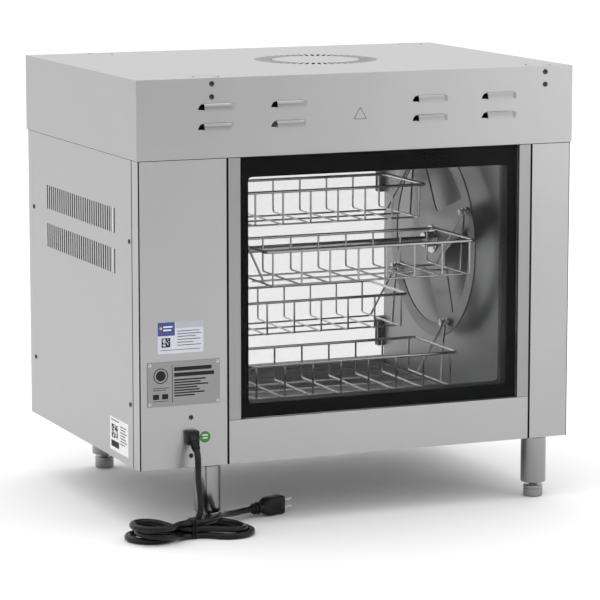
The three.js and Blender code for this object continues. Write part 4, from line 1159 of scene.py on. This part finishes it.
REAR_Y = high("rear_control_panel").y
SIDE_X = high("control_side_panel").x
HOOD_Y = mm(289)
AXES = {"+Y": (0, 1, 0), "-Y": (0, -1, 0), "+X": (1, 0, 0), "-X": (-1, 0, 0)}


def make_screws(name, places, way, radius, material, body="body"):
    """Pan-head screws with a cross recess, all on faces that look the same way."""
    axis = Vector(AXES[way])
    heads, crosses = bmesh.new(), bmesh.new()
    height = radius * 0.42
    for place in places:
        place = Vector(place)
        lathe(heads, [(0, -mm(0.2)), (radius, -mm(0.2)), (radius, height * 0.35),
                      (radius * 0.9, height * 0.72), (radius * 0.66, height * 0.93),
                      (radius * 0.3, height), (0, height)], place, axis, 24)
        turn = Matrix.Rotation(random.uniform(0, math.pi), 3, axis)
        for long_z in (0, 1):
            size = [radius * 0.5] * 3
            across = [i for i in range(3) if abs(axis[i]) < 0.5]
            size[across[long_z]] = radius * 0.11
            for i in range(3):
                if abs(axis[i]) > 0.5:
                    size[i] = height * 0.2
            centre = place + axis * (height * 0.86)
            block(crosses, centre - Vector(size), centre + Vector(size), turn=turn)
    add_mesh(name, heads, material, body=body, sharp_degrees=50)
    add_mesh(name + "_recess", crosses, dark_gap_and_shadow, body=body)


HOOD_SCREW_X, HOOD_SCREW_Z = (249, -323), (697, 677)  # millimetres, as are those below
PANEL_SCREW_Z = (180.5, 120)  # on the gland's line
SIDE_SCREW_Y, SIDE_SCREW_Z = (227.5, -240.5), (455, 200)
FRONT_SCREW_X, FRONT_SCREW_Z = (232, 360), (125, 570)
DOOR_HINGE_SCREW_X, BODY_HINGE_SCREW_X, HINGE_SCREW_RISE = -282, -313, 16


def make_all_screws():
    for name, y, way in (("rear", HOOD_Y, "+Y"), ("front", low("hood_cover").y, "-Y")):
        spots = [(mm(x), y, mm(z)) for x in HOOD_SCREW_X for z in HOOD_SCREW_Z]
        make_screws(f"hood_screws_{name}", spots, way, mm(4.2), dark_screw)
    spots = [(GLAND_X, REAR_Y, mm(z)) for z in PANEL_SCREW_Z]
    make_screws("panel_screws_rear", spots, "+Y", mm(3.8), dark_screw)
    for name, x, way in (("control", SIDE_X, "+X"), ("plain", low("plain_side_panel").x, "-X")):
        spots = [(x, mm(y) + body_y, mm(z)) for y in SIDE_SCREW_Y for z in SIDE_SCREW_Z]
        make_screws(f"side_screws_{name}", spots, way, mm(3.8), dark_screw)
    spots = [(mm(x), FRONT_Y, mm(z)) for x in FRONT_SCREW_X for z in FRONT_SCREW_Z]
    make_screws("panel_screws_front", spots, "-Y", mm(3.4), dark_screw)
    for body, x in (("door", DOOR_HINGE_SCREW_X), ("body", BODY_HINGE_SCREW_X)):
        for node in (body + "_hinge_lower", body + "_hinge_upper"):
            z, rise = middle(node).z, mm(HINGE_SCREW_RISE)
            faces = [("_screws", low("door_glass").y - mm(2), "-Y", rivet_metal)]
            if body == "door":
                faces.append(("_nuts", high(node).y, "+Y", dark_screw))
            for name, y, way, metal in faces:
                spots = [(mm(x), y, z - rise), (mm(x), y, z + rise)]
                make_screws(node + name, spots, way, mm(4), metal, body)


make_all_screws()


# ---- nameplate, labels and marks ----

def bars_from(left, top, rows):
    """Rows of (start, width, height, drop from the top) in millimetres as bars; left is at +X."""
    return [(mm(left - start - width), mm(left - start), mm(top - drop - height), mm(top - drop))
            for start, width, height, drop in rows]


def make_nameplate():
    """Four rivets, a round emblem in a ring, a two-line title and rows of small print."""
    face = high("nameplate").y
    plate_low, plate_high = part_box("nameplate")
    spots = [(x, face, z) for x in (plate_low.x + mm(4), plate_high.x - mm(4))
             for z in (plate_low.z + mm(4), plate_high.z - mm(4))]
    make_screws("nameplate_rivets", spots, "+Y", mm(2.6), rivet_metal)
    rows = [(44, 62, 6, 9), (44, 66, 6, 18)]
    rows += [(44, width, 2.2, 28 + 4.1 * i) for i, width in enumerate((52, 44, 56, 38, 42, 50, 34))]
    rows += [(40.5, 0.8, 58, 6), (9, 26, 0.9, 40), (9, 22, 0.9, 43), (9, 10, 8, 50),
             (24, 10, 8, 50), (9, 25, 0.8, 60.5)]
    flat_bars("nameplate_print", bars_from(357, 270.4, rows), ink, "Y",
              face - mm(0.04))
    for name, radii in (("nameplate_emblem", (12, 10.6)), ("nameplate_emblem_middle", (8,))):
        outlines = [circle(mm(335), mm(249), mm(radius), 48) for radius in radii]
        flat_shape(name, outlines, PRINT_THICKNESS, ink,
                   facing_y(face + mm(0.06)))


def panel_piece(name, left, right, bottom, top, material, lift, radius=1.0):
    """A thin sticker on the rear control panel, in millimetres; lift stacks one on another."""
    shape = [rectangle(mm(left), mm(right), mm(bottom), mm(top), mm(radius), 4)]
    flat_shape(name, shape, PRINT_THICKNESS, material,
               facing_y(REAR_Y + mm(0.08 + lift)))


def panel_print(name, left, top, rows, material, lift):
    """Printed bars on the rear control panel or on a sticker there, in millimetres."""
    flat_bars(name, bars_from(left, top, rows), material, "Y", REAR_Y + mm(lift))


def make_stickers():
    """A white sticker with a blue corner, lines and a square code, and a round green one."""
    right, top = 339, 332
    panel_piece("sticker_paper", 264, right, 283, top, label_white, 0)
    panel_piece("sticker_blue", 311, right, 311, top, label_blue, 0.08)
    panel_piece("sticker_grey", 264, 310, 322, top, label_grey, 0.08)
    panel_piece("sticker_dot", 332, 336, 321, 325, label_yellow, 0.16, 1.9)
    rows = [(9, 15, 2.4, 6), (9, 13, 2.4, 11)]
    panel_print("sticker_blue_print", right, top, rows, knob_print, 0.2)
    rows = [(32, 36, 1.3, 14), (32, 40, 1.3, 18.2), (32, 30, 1.3, 22.4), (32, 38, 1.3, 27),
            (32, 26, 1.3, 31.5), (32, 39, 1.3, 36), (4, 66, 1.0, 43)]
    panel_print("sticker_print", right, top, rows, faint_ink, 0.08)
    code, last, cell = [], 8, 1.6
    for i in range(last + 1):
        for k in range(last + 1):
            if random.random() < 0.55 or i in (0, last) or k in (0, last):
                code.append((6 + cell * i, cell, cell, 24.5 + cell * k))
    panel_print("sticker_code", right, top, code, ink, 0.08)
    x, z, radius = 262, 148, 9
    flat_shape("green_spot", [circle(mm(x), mm(z), mm(radius), 48)], PRINT_THICKNESS, label_green,
               facing_y(REAR_Y + mm(0.08)))
    rows = [(4.6, 8.8, 2.2, 5), (5, 8, 2.2, 9.6)]
    panel_print("green_spot_print", x + radius, z + radius, rows, knob_print, 0.1)


def make_side_label():
    """A white label low on the control side, with a code, thin lines and a solid bar."""
    left, right, bottom, top = 131.5, 216.5, 113, 166
    shape = [rectangle(mm(left) + body_y, mm(right) + body_y, mm(bottom), mm(top), mm(1), 4)]
    flat_shape("side_label", shape, PRINT_THICKNESS, white_paper,
               facing_x(SIDE_X + mm(0.08)))
    bars = [(left + 6, left + 42, top - 5, top - 3.4)]
    for i in range(14):
        for k in range(10):
            if random.random() < 0.6:
                y, z = left + 8 + 2 * i, bottom + 20 + 2.2 * k
                bars.append((y, y + 2, z, z + 2.2))
    bars.append((left + 6, left + 42, bottom + 6, bottom + 16))
    for i, reach in enumerate((28, 24, 30, 22, 26, 30, 20)):
        z = top - 9 - 4.6 * i
        bars.append((left + 48, left + 48 + reach, z - 1.5, z))
    bars = [(mm(y0) + body_y, mm(y1) + body_y, mm(z0), mm(z1)) for y0, y1, z0, z1 in bars]
    flat_bars("side_label_print", bars, ink, "X", SIDE_X + mm(0.1))


def triangle(size, x, z):
    """An upright equilateral triangle by its inscribed radius, corners rounded."""
    corners = [(x + 2 * size * math.cos(math.radians(a)),
                z + 2 * size * math.sin(math.radians(a)), 0) for a in (90, 210, 330)]
    return [(p.x, p.y) for p in rounded(corners, size * 0.25, closed=True, steps=4)]


def make_triangle():
    """A plain outlined triangle in the middle of the hood's rear face."""
    x, z = mm(0.5), mm(640)
    outline = [triangle(mm(6.7), x, z), triangle(mm(5.6), x, z)]
    flat_shape("hood_triangle", outline, PRINT_THICKNESS, faint_ink,
               facing_y(HOOD_Y + mm(0.08)))


make_nameplate()
make_stickers()
make_side_label()
make_triangle()
